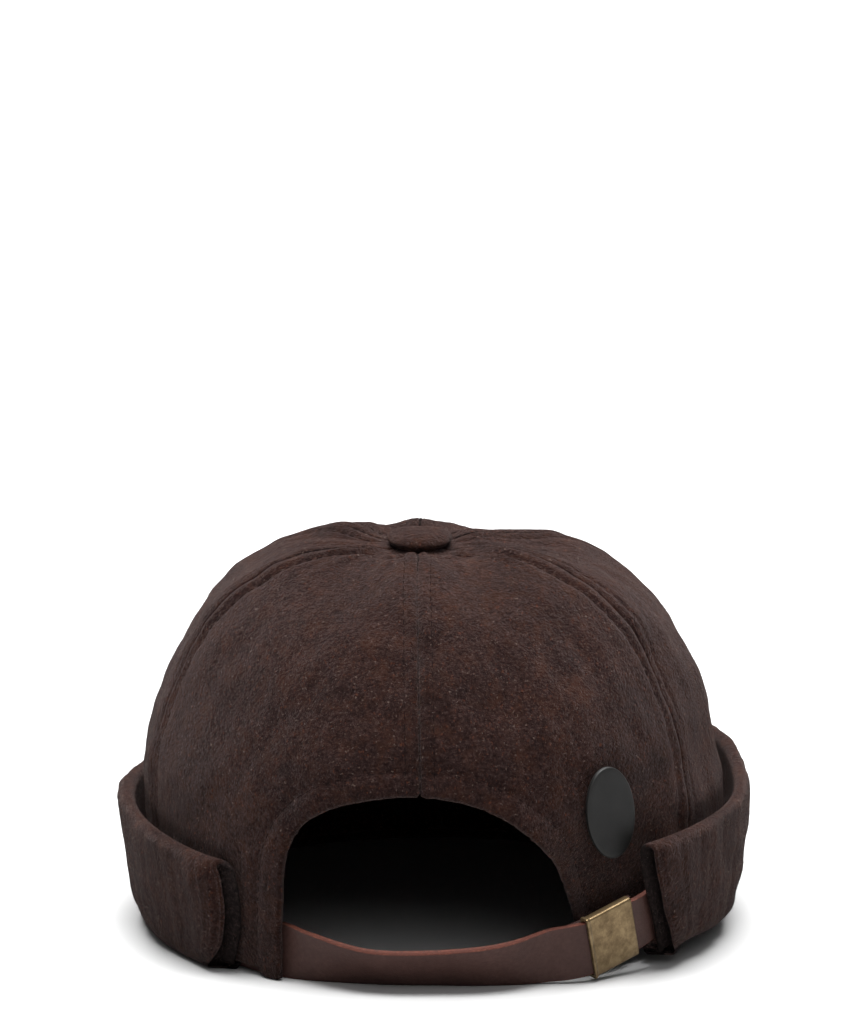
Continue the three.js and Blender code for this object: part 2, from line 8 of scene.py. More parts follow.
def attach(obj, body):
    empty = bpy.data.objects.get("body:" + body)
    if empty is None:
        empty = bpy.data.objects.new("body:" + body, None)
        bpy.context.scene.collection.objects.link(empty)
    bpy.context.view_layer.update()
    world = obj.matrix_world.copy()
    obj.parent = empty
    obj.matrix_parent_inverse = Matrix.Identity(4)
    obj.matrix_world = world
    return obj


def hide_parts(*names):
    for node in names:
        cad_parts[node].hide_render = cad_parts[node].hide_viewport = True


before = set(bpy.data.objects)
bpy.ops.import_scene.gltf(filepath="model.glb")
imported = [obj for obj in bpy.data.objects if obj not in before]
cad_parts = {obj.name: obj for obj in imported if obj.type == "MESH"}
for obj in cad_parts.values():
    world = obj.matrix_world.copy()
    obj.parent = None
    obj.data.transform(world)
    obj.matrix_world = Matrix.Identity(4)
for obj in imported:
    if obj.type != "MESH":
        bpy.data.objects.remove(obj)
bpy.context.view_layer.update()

# The shape repeats the part's own named sizes, in millimetres. Angles go round from the front, in degrees,
# positive towards the wearer's left.
CLOTH = 2.2
HALF_CLOTH = CLOTH / 2
GAP = 0.35
CENTRING = np.array([0.1, 2.9, 0.0])

CROWN = {
    "height": [0, 15, 30, 45, 58, 70, 82, 93, 103, 110.5, 116, 119.8, 121.9, 122.2, 121.4, 120.7, 120.7],
    "left": [84.5, 88.6, 90.8, 91.6, 90.4, 87, 81.8, 75.8, 68.8, 60.8, 51.8, 41.6, 30.6, 20, 13, 8.4, 3.4],
    "right": [84.5, 88.6, 90.8, 90.6, 88.4, 86.4, 82.8, 77.6, 71.4, 64.6, 55, 43.6, 31.4, 20.7, 13, 8.4, 3.4],
    "front": [92, 95, 96.5, 97, 95, 91, 85, 78.2, 69.6, 60, 48.6, 36.4, 26.2, 19, 13, 8.4, 3.4],
    "rear": [94.5, 94, 93.5, 92, 89.8, 85.5, 78.8, 70.5, 60, 49, 37.5, 27.5, 20.4, 15.4, 13, 8.4, 3.4],
    "centre_x": [0, 0, 0, 0, 0.2, 0.5, 1, 1.6, 2.2, 2.8, 3.2, 3.5, 4.1, 4.5, 4.5, 4.5, 4.5],
    "centre_y": [1, 1, 1, 1.5, 2, 3, 4.5, 6.5, 9, 11, 12.5, 13.5, 15.2, 15.6, 15.6, 15.6, 15.6],
}
ROWS = np.arange(len(CROWN["height"]), dtype=float)
SQUARENESS = 2.1

SEAM_ROWS = [0, 4, 6, 8, 10.5, 16]
SEAMS = [
    [-1.5, -1, -0.5, 0, 0, 0],
    [63, 66, 67, 65, 60, 57],
    [111, 109, 108, 109, 112, 115],
    [177.5, 177.5, 177.5, 177.5, 177, 177],
    [234, 238, 239.5, 240, 242, 245],
    [296, 293.5, 293, 295, 301, 305],
    [358.5, 359, 359.5, 360, 360, 360],
]
SEAM_RISE, SEAM_RISE_ROW, SEAM_RISE_ROWS = 1.1, 10, 3

# from_angle, from_row, to_angle, to_row, width, depth
FOLDS = [
    (-8, 7.2, -19, 4, 7, 1.4),
    (-22, 8.2, -34, 7, 15, -1.6),
    (-5, 9, -9, 7, 8, -1.4),
    (-100, 6, -104, 3, 7, 1.2),
    (-116, 6.4, -113, 4, 9, -1.4),
    (130, 6.4, 146, 3.4, 12, -1),
    (-146, 0, -144, 0.9, 24, -4.5),
    (-150, 1.4, -140, 2.2, 18, -2.4),
    (50, 12.2, -5, 12.2, 9, 1.8),
    (158, 12.2, 180, 12.2, 9, -1.8),
    (-158, 12.2, -180, 12.2, 9, -1.8),
    (-72, 11.4, -98, 10.2, 13, -1.4),
]

ARCH_X = [46.2, 46.1, 45.7, 44.6, 40.4, 33.6, 23, 9, -4, -14, -23.4, -31.6, -37.6, -42, -45.2, -46.4]
ARCH_Z = [-6, 10, 26, 38, 47.4, 53, 57, 58.8, 58, 55.2, 50.2, 43, 33.6, 20, 6, -6]

CUFF = {
    "angle": [-143.4, -134, -122, -108, -90, -72, -56, -35, 0, 35, 65, 90, 115, 134, 144.2],
    "foot": [2.8, 5, 5, 3.2, 1.2, 0.2, 0, 0, 0, 0, 0, 0, 0, 0, 0],
    "top": [41.5, 42.4, 43.6, 44.6, 46.4, 50.4, 50.2, 43, 37.4, 39, 41.4, 42, 39.6, 36.6, 35.6],
    "low_gap": [3, 3.4, 4, 3.4, 2.2, 2, 2, 1.4, 1, 1, 1.8, 2, 1.6, 1, 0.8],
    "top_gap": [4.4, 4.4, 4.4, 4.2, 4, 4.6, 4.4, 3, 2.4, 2.4, 2.8, 3, 3.2, 2.4, 1.6],
    "thick": [5, 5, 5, 5, 5, 5, 5, 5.2, 5.2, 5.2, 5, 5, 5, 5.2, 5.4],
}
FOOT_THICK = 2.3
ROLL, ROLL_HEIGHT = 4, 18
ROLL_EDGE_HEIGHT = [0, 1.2, 3.4, 7, 12]
ROLL_EDGE_BACK = [6.6, 3.8, 1.8, 0.5, 0]
END_FOOT, END_TOP, END_LEAN, END_BEND = 4, 2.4, 10.6, 26
HEM_STEP = (0.5, 3)
# How far the inner and the outer ply stop before the cuff's ends, and the rounding of their rims
PLY_BACK_LEFT, PLY_BACK_RIGHT, PLY_BLEND, PLY_RIM = (2.6, 6.4), (0.0, 2.4), 14.0, 0.85

STRAP = {
    "angle": [42, 35, 30, 25, 19, 11.5, 0, -8.5, -15, -22, -26, -30, -35.5, -41, -47, -53, -60],
    "offset": [-2.9, -3.1, -3.7, -5, -7, -8.3, -9, -7.6, -6, -3.6, -0.45, 1.55, 1.9, 3.2, 3.2, 3.8, 5.2],
    "lift": [0.4, 0.3, 0.1, 0, 0, 0, 0, 0, 0.1, 0.5, 1.2, 2.4, 4.8, 7.2, 9.4, 10.8, 11.6],
    "lean": [4, 1, 3, 17, 31, 41, 41, 36, 28, 12, 6, 5, 5, 5, 5, 5, 5],
}
STRAP_WIDTH, STRAP_THICK = 17, 1.7
BUCKLE_ANGLE, BUCKLE_LENGTH, BUCKLE_HEIGHT = -35.5, 17.4, 19.6
BUCKLE_WALL, BUCKLE_SLOT, BUCKLE_LIP = 0.6, 1.95, 0.35
BUTTON_RADIUS, BUTTON_HEIGHT, BUTTON_CENTRE = 10.1, 4.9, (4.5, 15.6, 121.2)
BUTTON_TILT, BUTTON_BEND = 0.085, 9
BADGE_ANGLE, BADGE_ROW, BADGE_GAP, BADGE_TILT = -145, 3.45, 0.8, 12
BADGE_WIDTH, BADGE_HEIGHT, BADGE_THICK = 18, 29, 1.6

GORES = ["front_left_panel", "side_left_panel", "back_left_panel",
         "back_right_panel", "side_right_panel", "front_right_panel"]

BACK_GORES = (2, 3)

# Relief that the gores' faces have beyond the part's own folds, in millimetres. Pairs are ranges of rows.
LUMP_DEPTH, DENT_DEPTH, RIB_DEPTH, RIB_FADE = 0.5, 0.26, 0.5, 12
STITCH_FROM_SEAM = 4.4
RIDGE_FOOT, RIDGE_TOP, RIDGE_HEIGHT = 1.6, 1.2, 0.55
GROOVE_DEPTH, GROOVE_WIDTH, LINE_WIDTH, LINE_FADE = 0.9, 1.05, 1.1, (8.5, 11.5)
GATHER_DEPTH, GATHER_START, GATHER_END = 0.2, (9.4, 11.4), (13.2, 14.6)
DIP_DEPTH, DIP_START, DIP_END = 1.7, (11.6, 12.9), (14.4, 15.2)
HEM_RIDGE, HEM_GROOVE, HEM_GROOVE_WIDTH = 0.4, 0.55, 1.1
INNER_FACE_SHARE = 0.25
SEAM_DEPTHS = [0.6, 1.15, 1.15, 0.34, 1.15, 1.15, 0.6]
SEAM_LINES = [0.5, 0.8, 0.8, 1.25, 0.8, 0.8, 0.5]
ARCH_HEM = 7.2

# Meshes
MM = 1000
FINE = 1.0
GORE_ROWS, GORE_COLUMNS, GORE_LAST_ROW, ARCH_SNAP = 132, 96, 15.8, 0.22
CUFF_STATIONS, ROUND_SIDES, STRAP_STATIONS = 430, 96, 300
SEAM_POINTS, SEAM_START_ROW, STITCH_END_ROW, THREAD_END_ROW = 260, 0.25, 13.9, 14.0
STITCH_CLEAR, THREAD_CLEAR, THREAD_SINK = 2.0, 0.6, 0.42
CROWN_FIBRES, CROWN_SEED, CUFF_FIBRES, CUFF_SEED = 44000, 3, 24000, 4
FIBRE_LENGTH, FIBRE_THICK, FIBRE_SINK = (0.4, 1.4), (0.03, 0.055), 0.08
FIBRE_LEAN, FIBRE_STAND, FIBRE_STANDING = (4, 32), 28, 0.2

# Picture and studio: the photo's size, its scale, and the pixel where the cap's foot has its centre
PICTURE, PIXELS_PER_MM, AIM_PIXEL = (853, 1024), 3.13, (434.0, 908.0)
CAMERA_DISTANCE, CAMERA_RISE = 1.3, 15.5
FLOOR_HALF, FLOOR_TONE, WORLD_STRENGTH = 28, 0.42, 0.2
LAMPS = [("key", 12.5, 54, 11, 0), ("fill", 0.6, 40, -42, 8)]


def curve(keys, values, at):
    """Smooth value at a place along the keys, as the part's source reads its tables."""
    keys, values, at = (np.asarray(x, float) for x in (keys, values, at))
    if keys[0] > keys[-1]:
        keys, values = keys[::-1], values[::-1]
    last = len(keys) - 1
    i = np.clip(np.searchsorted(keys, at, side="left") - 1, 0, last - 1)

    def slope(k):
        low, high = np.maximum(k - 1, 0), np.minimum(k + 1, last)
        return (values[high] - values[low]) / (keys[high] - keys[low])

    span = keys[i + 1] - keys[i]
    f = (at - keys[i]) / span
    start = values[i] * (1 + 2 * f) * (1 - f) ** 2 + slope(i) * span * f * (1 - f) ** 2
    end = values[i + 1] * f * f * (3 - 2 * f) + slope(i + 1) * span * f * f * (f - 1)
    return start + end


def unit(v):
    return v / np.maximum(np.linalg.norm(v, axis=-1, keepdims=True), 1e-12)


def path_length(points):
    """The distance along a path at each of its points."""
    return np.concatenate([[0], np.cumsum(np.linalg.norm(np.diff(points, axis=0), axis=1))])


def step(low, high, x):
    f = np.clip((x - low) / (high - low), 0, 1)
    return f * f * (3 - 2 * f)


def bump(x, width):
    return np.exp(-((x / width) ** 2))


def waves(seed, count, wavelength):
    """Directions, phases and lengths of some soft waves, for gentle unevenness."""
    rng = np.random.default_rng(seed)
    directions = unit(rng.normal(size=(count, 3)))
    lengths = wavelength * rng.uniform(0.7, 1.5, count)
    return directions * (2 * pi / lengths)[:, None], rng.uniform(0, 2 * pi, count)


LUMPS = waves(11, 9, 34.0)
DENTS = waves(23, 12, 11.0)


def uneven(points, kind):
    directions, phases = kind
    return np.sin(points @ directions.T + phases).sum(axis=-1) / sqrt(len(phases))


def reach(angle, row):
    s, c = np.sin(np.radians(angle)), np.cos(np.radians(angle))
    wide = np.where(s > 0, curve(ROWS, CROWN["left"], row), curve(ROWS, CROWN["right"], row))
    deep = np.where(c > 0, curve(ROWS, CROWN["front"], row), curve(ROWS, CROWN["rear"], row))
    total = (np.abs(s) / wide) ** SQUARENESS + (np.abs(c) / deep) ** SQUARENESS
    return total ** (-1 / SQUARENESS)


def place(angle, distance, height, row=0.0):
    a = np.radians(angle)
    x = curve(ROWS, CROWN["centre_x"], row) + distance * np.sin(a)
    y = curve(ROWS, CROWN["centre_y"], row) - distance * np.cos(a)
    return np.stack(np.broadcast_arrays(x, y, height), axis=-1)


def crown_skin(angle, row):
    return place(angle, reach(angle, row), curve(ROWS, CROWN["height"], row), row)


def crown_normal(angle, row):
    top = ROWS[-1]
    low, high = crown_skin(angle, np.maximum(row - 0.05, 0)), crown_skin(angle, np.minimum(row + 0.05, top))
    around = crown_skin(angle + 1, row) - crown_skin(angle - 1, row)
    return unit(np.cross(around, high - low))


def fold(shape, angle, row):
    from_angle, from_row, to_angle, to_row, width, depth = shape
    size = float(reach(from_angle, from_row))
    spacing = 12
    start = np.array([radians(from_angle) * size, from_row * spacing])
    along = np.array([radians(to_angle) * size, to_row * spacing]) - start
    here = np.stack([np.radians(angle) * size, row * spacing], axis=-1) - start
    f = np.clip(here @ along / (along @ along), 0, 1)
    off = np.linalg.norm(here - f[..., None] * along, axis=-1)
    return depth * bump(off, width)


def wrap(angle):
    return np.where(angle > 180, angle - 360, angle)


def seam_angle(seam, row):
    return curve(SEAM_ROWS, SEAMS[seam], row)


def relief(angle, row, share):
    """The soft folds and the seams' rise, as in the part's source."""
    rise = np.exp(-(((row - SEAM_RISE_ROW) / SEAM_RISE_ROWS) ** 2))
    total = SEAM_RISE * rise * np.cos(2 * pi * share)
    for shape in FOLDS:
        total = total + fold(shape, angle, row)
    return total


def cuff_foot(angle):
    along = np.clip(angle, CUFF["angle"][0], CUFF["angle"][-1])
    return np.maximum(curve(CUFF["angle"], CUFF["foot"], along), 0)


def hem_height(angle):
    past = np.maximum(angle - CUFF["angle"][-1], CUFF["angle"][0] - angle)
    return cuff_foot(angle) + (FOOT_THICK + GAP) * (1 - step(*HEM_STEP, past))


def arch_outline(count):
    rows = np.linspace(0, len(ARCH_X) - 1, count)
    keys = np.arange(len(ARCH_X))
    return np.stack([curve(keys, ARCH_X, rows), curve(keys, ARCH_Z, rows)], axis=-1)


ARCH_LINE = arch_outline(160)


def from_arch(x, z):
    """Distance from the arch's edge in the upright plane, below nothing inside the opening."""
    points = np.stack([x, z], axis=-1).reshape(-1, 2)
    a, b = ARCH_LINE[:-1], ARCH_LINE[1:]
    along = b - a
    best = np.full(len(points), 1e9)
    for start, way in zip(a, along):
        f = np.clip(((points - start) @ way) / (way @ way), 0, 1)
        best = np.minimum(best, np.linalg.norm(points - start - f[:, None] * way, axis=-1))
    px, pz = points.T
    crossings = np.zeros(len(points), int)
    for (x0, z0), (x1, z1) in zip(ARCH_LINE, np.roll(ARCH_LINE, -1, axis=0)):
        if z0 == z1:
            continue
        between = (z0 > pz) != (z1 > pz)
        crossings += between & (px < x0 + (pz - z0) * (x1 - x0) / (z1 - z0))
    inside = (crossings % 2 == 1) | ((np.abs(px) < 44) & (pz < -5))
    return np.where(inside, -best, best).reshape(np.shape(x))


def ribs(across):
    """The faint upright ribs of the cloth, by the distance across it."""
    wander = 0.9 * np.sin(across / 17.0)
    return (0.1 * np.cos(2 * pi * across / 11.2 + wander)
            + 0.08 * np.cos(2 * pi * across / 5.6 - wander)
            + 0.03 * np.cos(2 * pi * across / 3.7))


def gore_span(gore, row):
    """A gore's two seam angles at a row, its distance from the axis and its width there."""
    first, last = seam_angle(gore, row), seam_angle(gore + 1, row)
    size = reach(wrap((first + last) / 2), row)
    return first, last, size, np.radians(last - first) * size


def crown_surface(gore, share, row):
    """Outer and inner face of a gore at a share across it and a row up it, its normals, distance across."""
    first, last, size, width = gore_span(gore, row)
    edge = np.degrees(HALF_CLOTH / size)
    angle = wrap(first + edge + (last - first - 2 * edge) * share)
    from_seam = np.minimum(share, 1 - share) * (width - CLOTH) + HALF_CLOTH
    across = (share - 0.5) * width
    skin, normal = crown_skin(angle, row), crown_normal(angle, row)

    both = relief(angle, row, HALF_CLOTH / width + (1 - CLOTH / width) * share)
    full = step(0, 2.5, row) * (1 - step(13, 15, row))
    both = both + LUMP_DEPTH * uneven(skin, LUMPS) * full
    depth = np.where(share < 0.5, SEAM_DEPTHS[gore], SEAM_DEPTHS[gore + 1])
    line = np.where(share < 0.5, SEAM_LINES[gore], SEAM_LINES[gore + 1])
    forward = step(0.2, 0.8, np.cos(np.radians(angle)))
    near_seam = 1 - step(13.0 - 1.8 * forward, 14.4 - 1.2 * forward, row)
    ridge = step(STITCH_FROM_SEAM + RIDGE_FOOT, STITCH_FROM_SEAM - RIDGE_TOP, from_seam)
    detail = near_seam * (
        RIDGE_HEIGHT * depth * ridge
        - GROOVE_DEPTH * depth * bump(from_seam - STITCH_FROM_SEAM, GROOVE_WIDTH)
        - line * (1 - 0.5 * step(*LINE_FADE, row)) * bump(from_seam, LINE_WIDTH)
    )
    detail = (detail + DENT_DEPTH * uneven(skin, DENTS) * full
              + RIB_DEPTH * ribs(across) * step(0, RIB_FADE, from_seam) * full)
    around = np.radians(angle)
    gather = (np.cos(27 * around + 2.1 * np.sin(3 * around))
              + 0.7 * np.cos(41 * around - 1.6 * np.sin(2 * around)))
    detail = detail + (GATHER_DEPTH * gather * step(*GATHER_START, row) * (1 - step(*GATHER_END, row))
                       * (1 - 0.6 * forward))
    rearward = step(0.1, 0.8, -np.cos(around))
    both = both - DIP_DEPTH * rearward * step(*DIP_START, row) * (1 - step(*DIP_END, row))
    if gore in BACK_GORES:
        from_edge = from_arch(skin[..., 0], skin[..., 2])
        detail = detail + HEM_RIDGE * step(ARCH_HEM + RIDGE_FOOT, ARCH_HEM - RIDGE_TOP, from_edge)
        detail = detail - HEM_GROOVE * bump(from_edge - ARCH_HEM, HEM_GROOVE_WIDTH)
    lift = hem_height(angle) * np.maximum(1 - row, 0)
    outer = skin + normal * (both + detail)[..., None]
    inner = skin + normal * (both - CLOTH + INNER_FACE_SHARE * detail)[..., None]
    outer[..., 2] += lift
    inner[..., 2] += lift
    return outer, inner, normal, across


def spaced_rows(gore, count, low, high):
    """Rows at even distances along the gore's middle."""
    fine = np.linspace(low, high, 900)
    middle = wrap((seam_angle(gore, fine) + seam_angle(gore + 1, fine)) / 2)
    points = crown_skin(middle, fine)
    length = path_length(points)
    at = np.linspace(0, length[-1], count)
    return np.interp(at, length, fine), at


def clipped_cells(values):
    """Cells of a grid, cut along the line where the values are zero. Gives (row, column) places and faces."""
    places, faces, known = [], [], {}

    def index(key, where):
        if key not in known:
            known[key] = len(places)
            places.append(where)
        return known[key]

    rows, columns = values.shape
    for r in range(rows - 1):
        for c in range(columns - 1):
            corners = [(r, c), (r, c + 1), (r + 1, c + 1), (r + 1, c)]
            found = [values[k] for k in corners]
            if max(found) < 0:
                continue
            face = []
            for k in range(4):
                here, there = corners[k], corners[(k + 1) % 4]
                a, b = found[k], found[(k + 1) % 4]
                if a >= 0:
                    face.append(index(here, here))
                if (a > 0 > b) or (a < 0 < b):
                    f = a / (a - b)
                    where = tuple(h + (t - h) * f for h, t in zip(here, there))
                    face.append(index(tuple(sorted((here, there))), where))
            face = list(dict.fromkeys(face))
            if len(face) >= 3:
                faces.append(face)
    return np.array(places, float), faces


def rounded_edge(outer, inner, faces, width=HALF_CLOTH, rings=6):
    """Closes two faces of cloth with a rounded edge. Gives all points and faces."""
    ways = {}
    for face in faces:
        for a, b in zip(face, face[1:] + face[:1]):
            ways[(a, b)] = True
    rim = [(a, b) for a, b in ways if (b, a) not in ways]
    after, before = {a: b for a, b in rim}, {b: a for a, b in rim}
    count = len(outer)
    points = [outer, inner]
    all_faces = [list(face) for face in faces] + [[count + k for k in reversed(face)] for face in faces]
    start = 2 * count
    ids = np.array(sorted(after))
    middle = (outer + inner) / 2
    tangent = unit(middle[[after[i] for i in ids]] - middle[[before[i] for i in ids]])
    facing = unit(outer[ids] - inner[ids])
    away = unit(np.cross(tangent, facing))
    half = np.linalg.norm(outer[ids] - inner[ids], axis=1, keepdims=True) / 2
    slots = {i: k for k, i in enumerate(ids)}
    for k in range(1, rings):
        turn = pi * k / rings
        points.append(middle[ids] + facing * half * cos(turn) + away * width * sin(turn))

    def at(level, i):
        if level == 0:
            return i
        if level == rings:
            return count + i
        return start + (level - 1) * len(ids) + slots[i]

    for a, b in rim:
        for level in range(rings):
            all_faces.append([at(level, b), at(level, a), at(level + 1, a), at(level + 1, b)])
    return np.concatenate(points), all_faces, ids


def tube_faces(rings, size):
    """Faces of a closed tube of rings of points: the first cap, the sides ring by ring, the last cap."""
    faces = [list(reversed(range(size)))]
    for n in range(rings - 1):
        for i in range(size):
            j = (i + 1) % size
            faces.append([n * size + i, n * size + j, (n + 1) * size + j, (n + 1) * size + i])
    return faces + [[(rings - 1) * size + i for i in range(size)]]


def link_object(name, data):
    obj = bpy.data.objects.new(name, data)
    bpy.context.collection.objects.link(obj)
    return obj


def new_object(name, points, faces, materials, coordinates=None, kinds=None):
    mesh = bpy.data.meshes.new(name)
    mesh.from_pydata(((np.asarray(points) + CENTRING) / MM).tolist(), [], faces)
    mesh.validate()
    for material in materials:
        mesh.materials.append(material)
    if kinds is not None:
        mesh.polygons.foreach_set("material_index", kinds)
    mesh.polygons.foreach_set("use_smooth", [True] * len(mesh.polygons))
    if coordinates is not None:
        layer = mesh.uv_layers.new(name="cloth")
        corners = np.empty(len(mesh.loops), int)
        mesh.loops.foreach_get("vertex_index", corners)
        layer.data.foreach_set("uv", np.asarray(coordinates, float)[corners].ravel())
    mesh.update()
    obj = link_object(name, mesh)
    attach(obj, "root")
    return obj


def gore_object(gore, material):
    rows, lengths = spaced_rows(gore, int(GORE_ROWS * FINE), HALF_CLOTH / 15, GORE_LAST_ROW)
    shares = np.linspace(0, 1, int(GORE_COLUMNS * FINE))
    share, row = np.meshgrid(shares, rows)
    if gore in BACK_GORES:
        outer = crown_surface(gore, share, row)[0]
        values = from_arch(outer[..., 0], outer[..., 2]) - HALF_CLOTH
        values[np.abs(values) < ARCH_SNAP] = 0
    else:
        values = np.ones_like(row)
    places, faces = clipped_cells(values)
    at_row = np.interp(places[:, 0], np.arange(len(rows)), rows)
    at_share = np.interp(places[:, 1], np.arange(len(shares)), shares)
    outer, inner, _, across = crown_surface(gore, at_share, at_row)
    up = np.interp(at_row, rows, lengths)
    points, all_faces, ids = rounded_edge(outer, inner, faces)
    flat = np.stack([across / MM + 0.2 * gore, up / MM], axis=-1)
    rim = [flat[ids]] * ((len(points) - 2 * len(outer)) // len(ids))
    coordinates = np.concatenate([flat, flat + [0.09, 0.05]] + rim)
    name = GORES[gore].replace("_panel", "_gore")
    obj = new_object(name, points, all_faces, [material], coordinates)
    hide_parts(GORES[gore])
    return obj


def crown_offset(angle, height):
    """How far the crown's face stands out from its hem at some heights, for one angle."""
    rows = np.linspace(0, 5, 251)
    heights = curve(ROWS, CROWN["height"], rows)
    out = reach(np.full_like(rows, angle), rows)
    return np.interp(height, heights, out) - out[0]


def end_pull(share, right):
    """Degrees by which a cuff end draws back at a share of its height: the right leans, the left is round."""
    top = END_TOP * np.maximum((share - 0.6) / 0.4, 0) ** 2
    if right:
        return top + END_LEAN * np.maximum(1 - share, 0)
    return top + END_FOOT * np.maximum(1 - share / 0.55, 0) ** 2


def cuff_section(angle, inset):
    """Points round the cuff at an angle: offset from the hem, height, share outside, share of outer ply."""
    top, low, high, thick = (float(curve(CUFF["angle"], CUFF[k], angle)) for k in
                             ("top", "low_gap", "top_gap", "thick"))
    foot = float(cuff_foot(angle))
    crest = top - inset
    full = 1 - 2 * inset / thick

    def inner(z):
        return crown_offset(angle, z) + low + (high - low) * z / top + inset

    def outer(z):
        return inner(z) + thick - 2 * inset + ROLL * np.maximum(1 - z / ROLL_HEIGHT, 0) ** 2

    half = (thick - 2 * inset) / 2
    rise = min(half * 1.15, 3.2)
    flat_end = float(outer(foot)) - ROLL_EDGE_BACK[0] * full
    low_start = -CLOTH + 0.8 + inset
    points = [(low_start + (flat_end - low_start) * k / 3, foot, 0.0, k / 3) for k in range(4)]
    for z in (0.25, 0.6, 1.2, 2.0, 3.0, 4.2, 5.6, 7.2, 9.0, 10.6):
        back = max(float(curve(ROLL_EDGE_HEIGHT, ROLL_EDGE_BACK, z)), 0) * full
        points.append((float(outer(foot + z)) - back, foot + z, min(z / 7, 1), 1.0))
    for z in np.linspace(foot + 12, crest - rise, 26):
        points.append((float(outer(z)), z, 1.0, 1.0))
    middle = float(inner(crest - rise)) + half
    for k in range(1, 12):
        turn = pi * k / 12
        points.append((middle + half * cos(turn), crest - rise + rise * sin(turn),
                       max(cos(turn), 0), (1 + cos(turn)) / 2))
    base = foot + FOOT_THICK
    for z in np.linspace(crest - rise, base + 1.6, 18):
        points.append((float(inner(z)), z, 0.0, 0.0))
    corner = float(inner(base)) - 0.4
    points += [(corner, base, 0.0, 0.0), (corner / 2 - 1, base, 0.0, 0.0), (-CLOTH + inset, base, 0.0, 0.0)]
    points.append((-CLOTH + inset, foot + 0.7, 0.0, 0.0))
    return np.array(points)


def cuff_object(material, painted_shade_material):
    """The cuff. At its ends the outer ply stops short of the inner one, with a hollow between the two."""
    start, end = CUFF["angle"][0], CUFF["angle"][-1]
    per_mm = degrees(1 / 88.0)
    turns = np.radians([0, 15, 32, 50, 70, 90])
    ending = [(PLY_RIM * (1 - sin(a)), PLY_RIM * (1 - cos(a)), 0) for a in turns]
    ending += [(PLY_RIM * (1 - sin(a)), PLY_RIM * (1 + cos(a)), 1) for a in turns[:-1][::-1]]
    ending += [(2.6, 2 * PLY_RIM, 1), (5.0, 2 * PLY_RIM, 1), (8.0, 2 * PLY_RIM, 1)]
    left = [(end - back * per_mm, inset, inside) for back, inset, inside in ending[::-1]]
    right = [(start + back * per_mm, inset, inside) for back, inset, inside in ending]
    count = int(CUFF_STATIONS * FINE)
    body = [(a, 0.0, 0) for a in np.linspace(start + 1.3 * per_mm, end - 1.3 * per_mm, count)]
    rings, coordinates, dark = [], [], []
    for angle, inset, inside in left + body[::-1] + right:
        to_left, to_right = (end - angle) / per_mm, (angle - start) / per_mm
        section = cuff_section(angle, inset)
        ply = section[:, 3]
        foot = float(cuff_foot(angle))
        if inside:
            low = np.clip((section[:, 1] - foot) / FOOT_THICK, 0, 1)
            section[:, 1] = np.where(low < 1, foot + 0.9 + low * (FOOT_THICK - 1.5), section[:, 1])
        top = float(curve(CUFF["angle"], CUFF["top"], angle))
        share = section[:, 1] / top
        to_end = min(to_left, to_right)
        inner_back, outer_back = PLY_BACK_RIGHT if to_right < to_left else PLY_BACK_LEFT
        back = inner_back + (outer_back - inner_back) * ply + 3.2 * ply * np.maximum(1 - share / 0.3, 0) ** 2
        pull = end_pull(share, angle < 0) * max(1 - to_end * per_mm / END_BEND, 0)
        pull = pull + back * per_mm * max(1 - to_end / PLY_BLEND, 0)
        turned = angle + np.where(angle < 0, pull, -pull)
        ring = place(turned, reach(turned, 0) + section[:, 0], section[:, 1])
        way = np.radians(turned)
        out = np.stack([np.sin(way), -np.cos(way), np.zeros_like(turned)], axis=-1)
        around = radians(angle) * 96
        upright = step(0, 0.25, share) * step(1.04, 0.8, share)
        shape = (
            1.5 * ribs(np.full(len(section), around))
            + 0.55 * uneven(ring, LUMPS)
            + 0.28 * uneven(ring, DENTS)
            + (1.1 * bump(to_left - 12, 6) - 0.9 * step(5.5, 0.5, to_left)) * upright
            + 0.7 * bump(to_right - 12, 6) * upright
        )
        shape = shape * section[:, 2]
        rings.append(ring + out * shape[:, None])
        # Faces in the hollow and along the inner ply's rim at the ends are marked for the near-black wool:
        # painted shade for the deep shadow in that recess.
        dark.append(np.full(len(ply), inside) | ((inset > 0) & (ply < 0.45)))
        coordinates.append(np.stack([
            np.full(len(section), around / MM + 1.3),
            path_length(section[:, :2]) / MM,
        ], axis=-1))
    kinds = [1]
    for here, there in zip(dark, dark[1:]):
        kinds += (here & np.roll(there, -1)).astype(int).tolist()
    kinds.append(1)
    faces = tube_faces(len(rings), len(rings[0]))
    obj = new_object("turned_up_cuff", np.concatenate(rings), faces, [material, painted_shade_material],
                     np.concatenate(coordinates), kinds)
    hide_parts("cuff")
    return obj


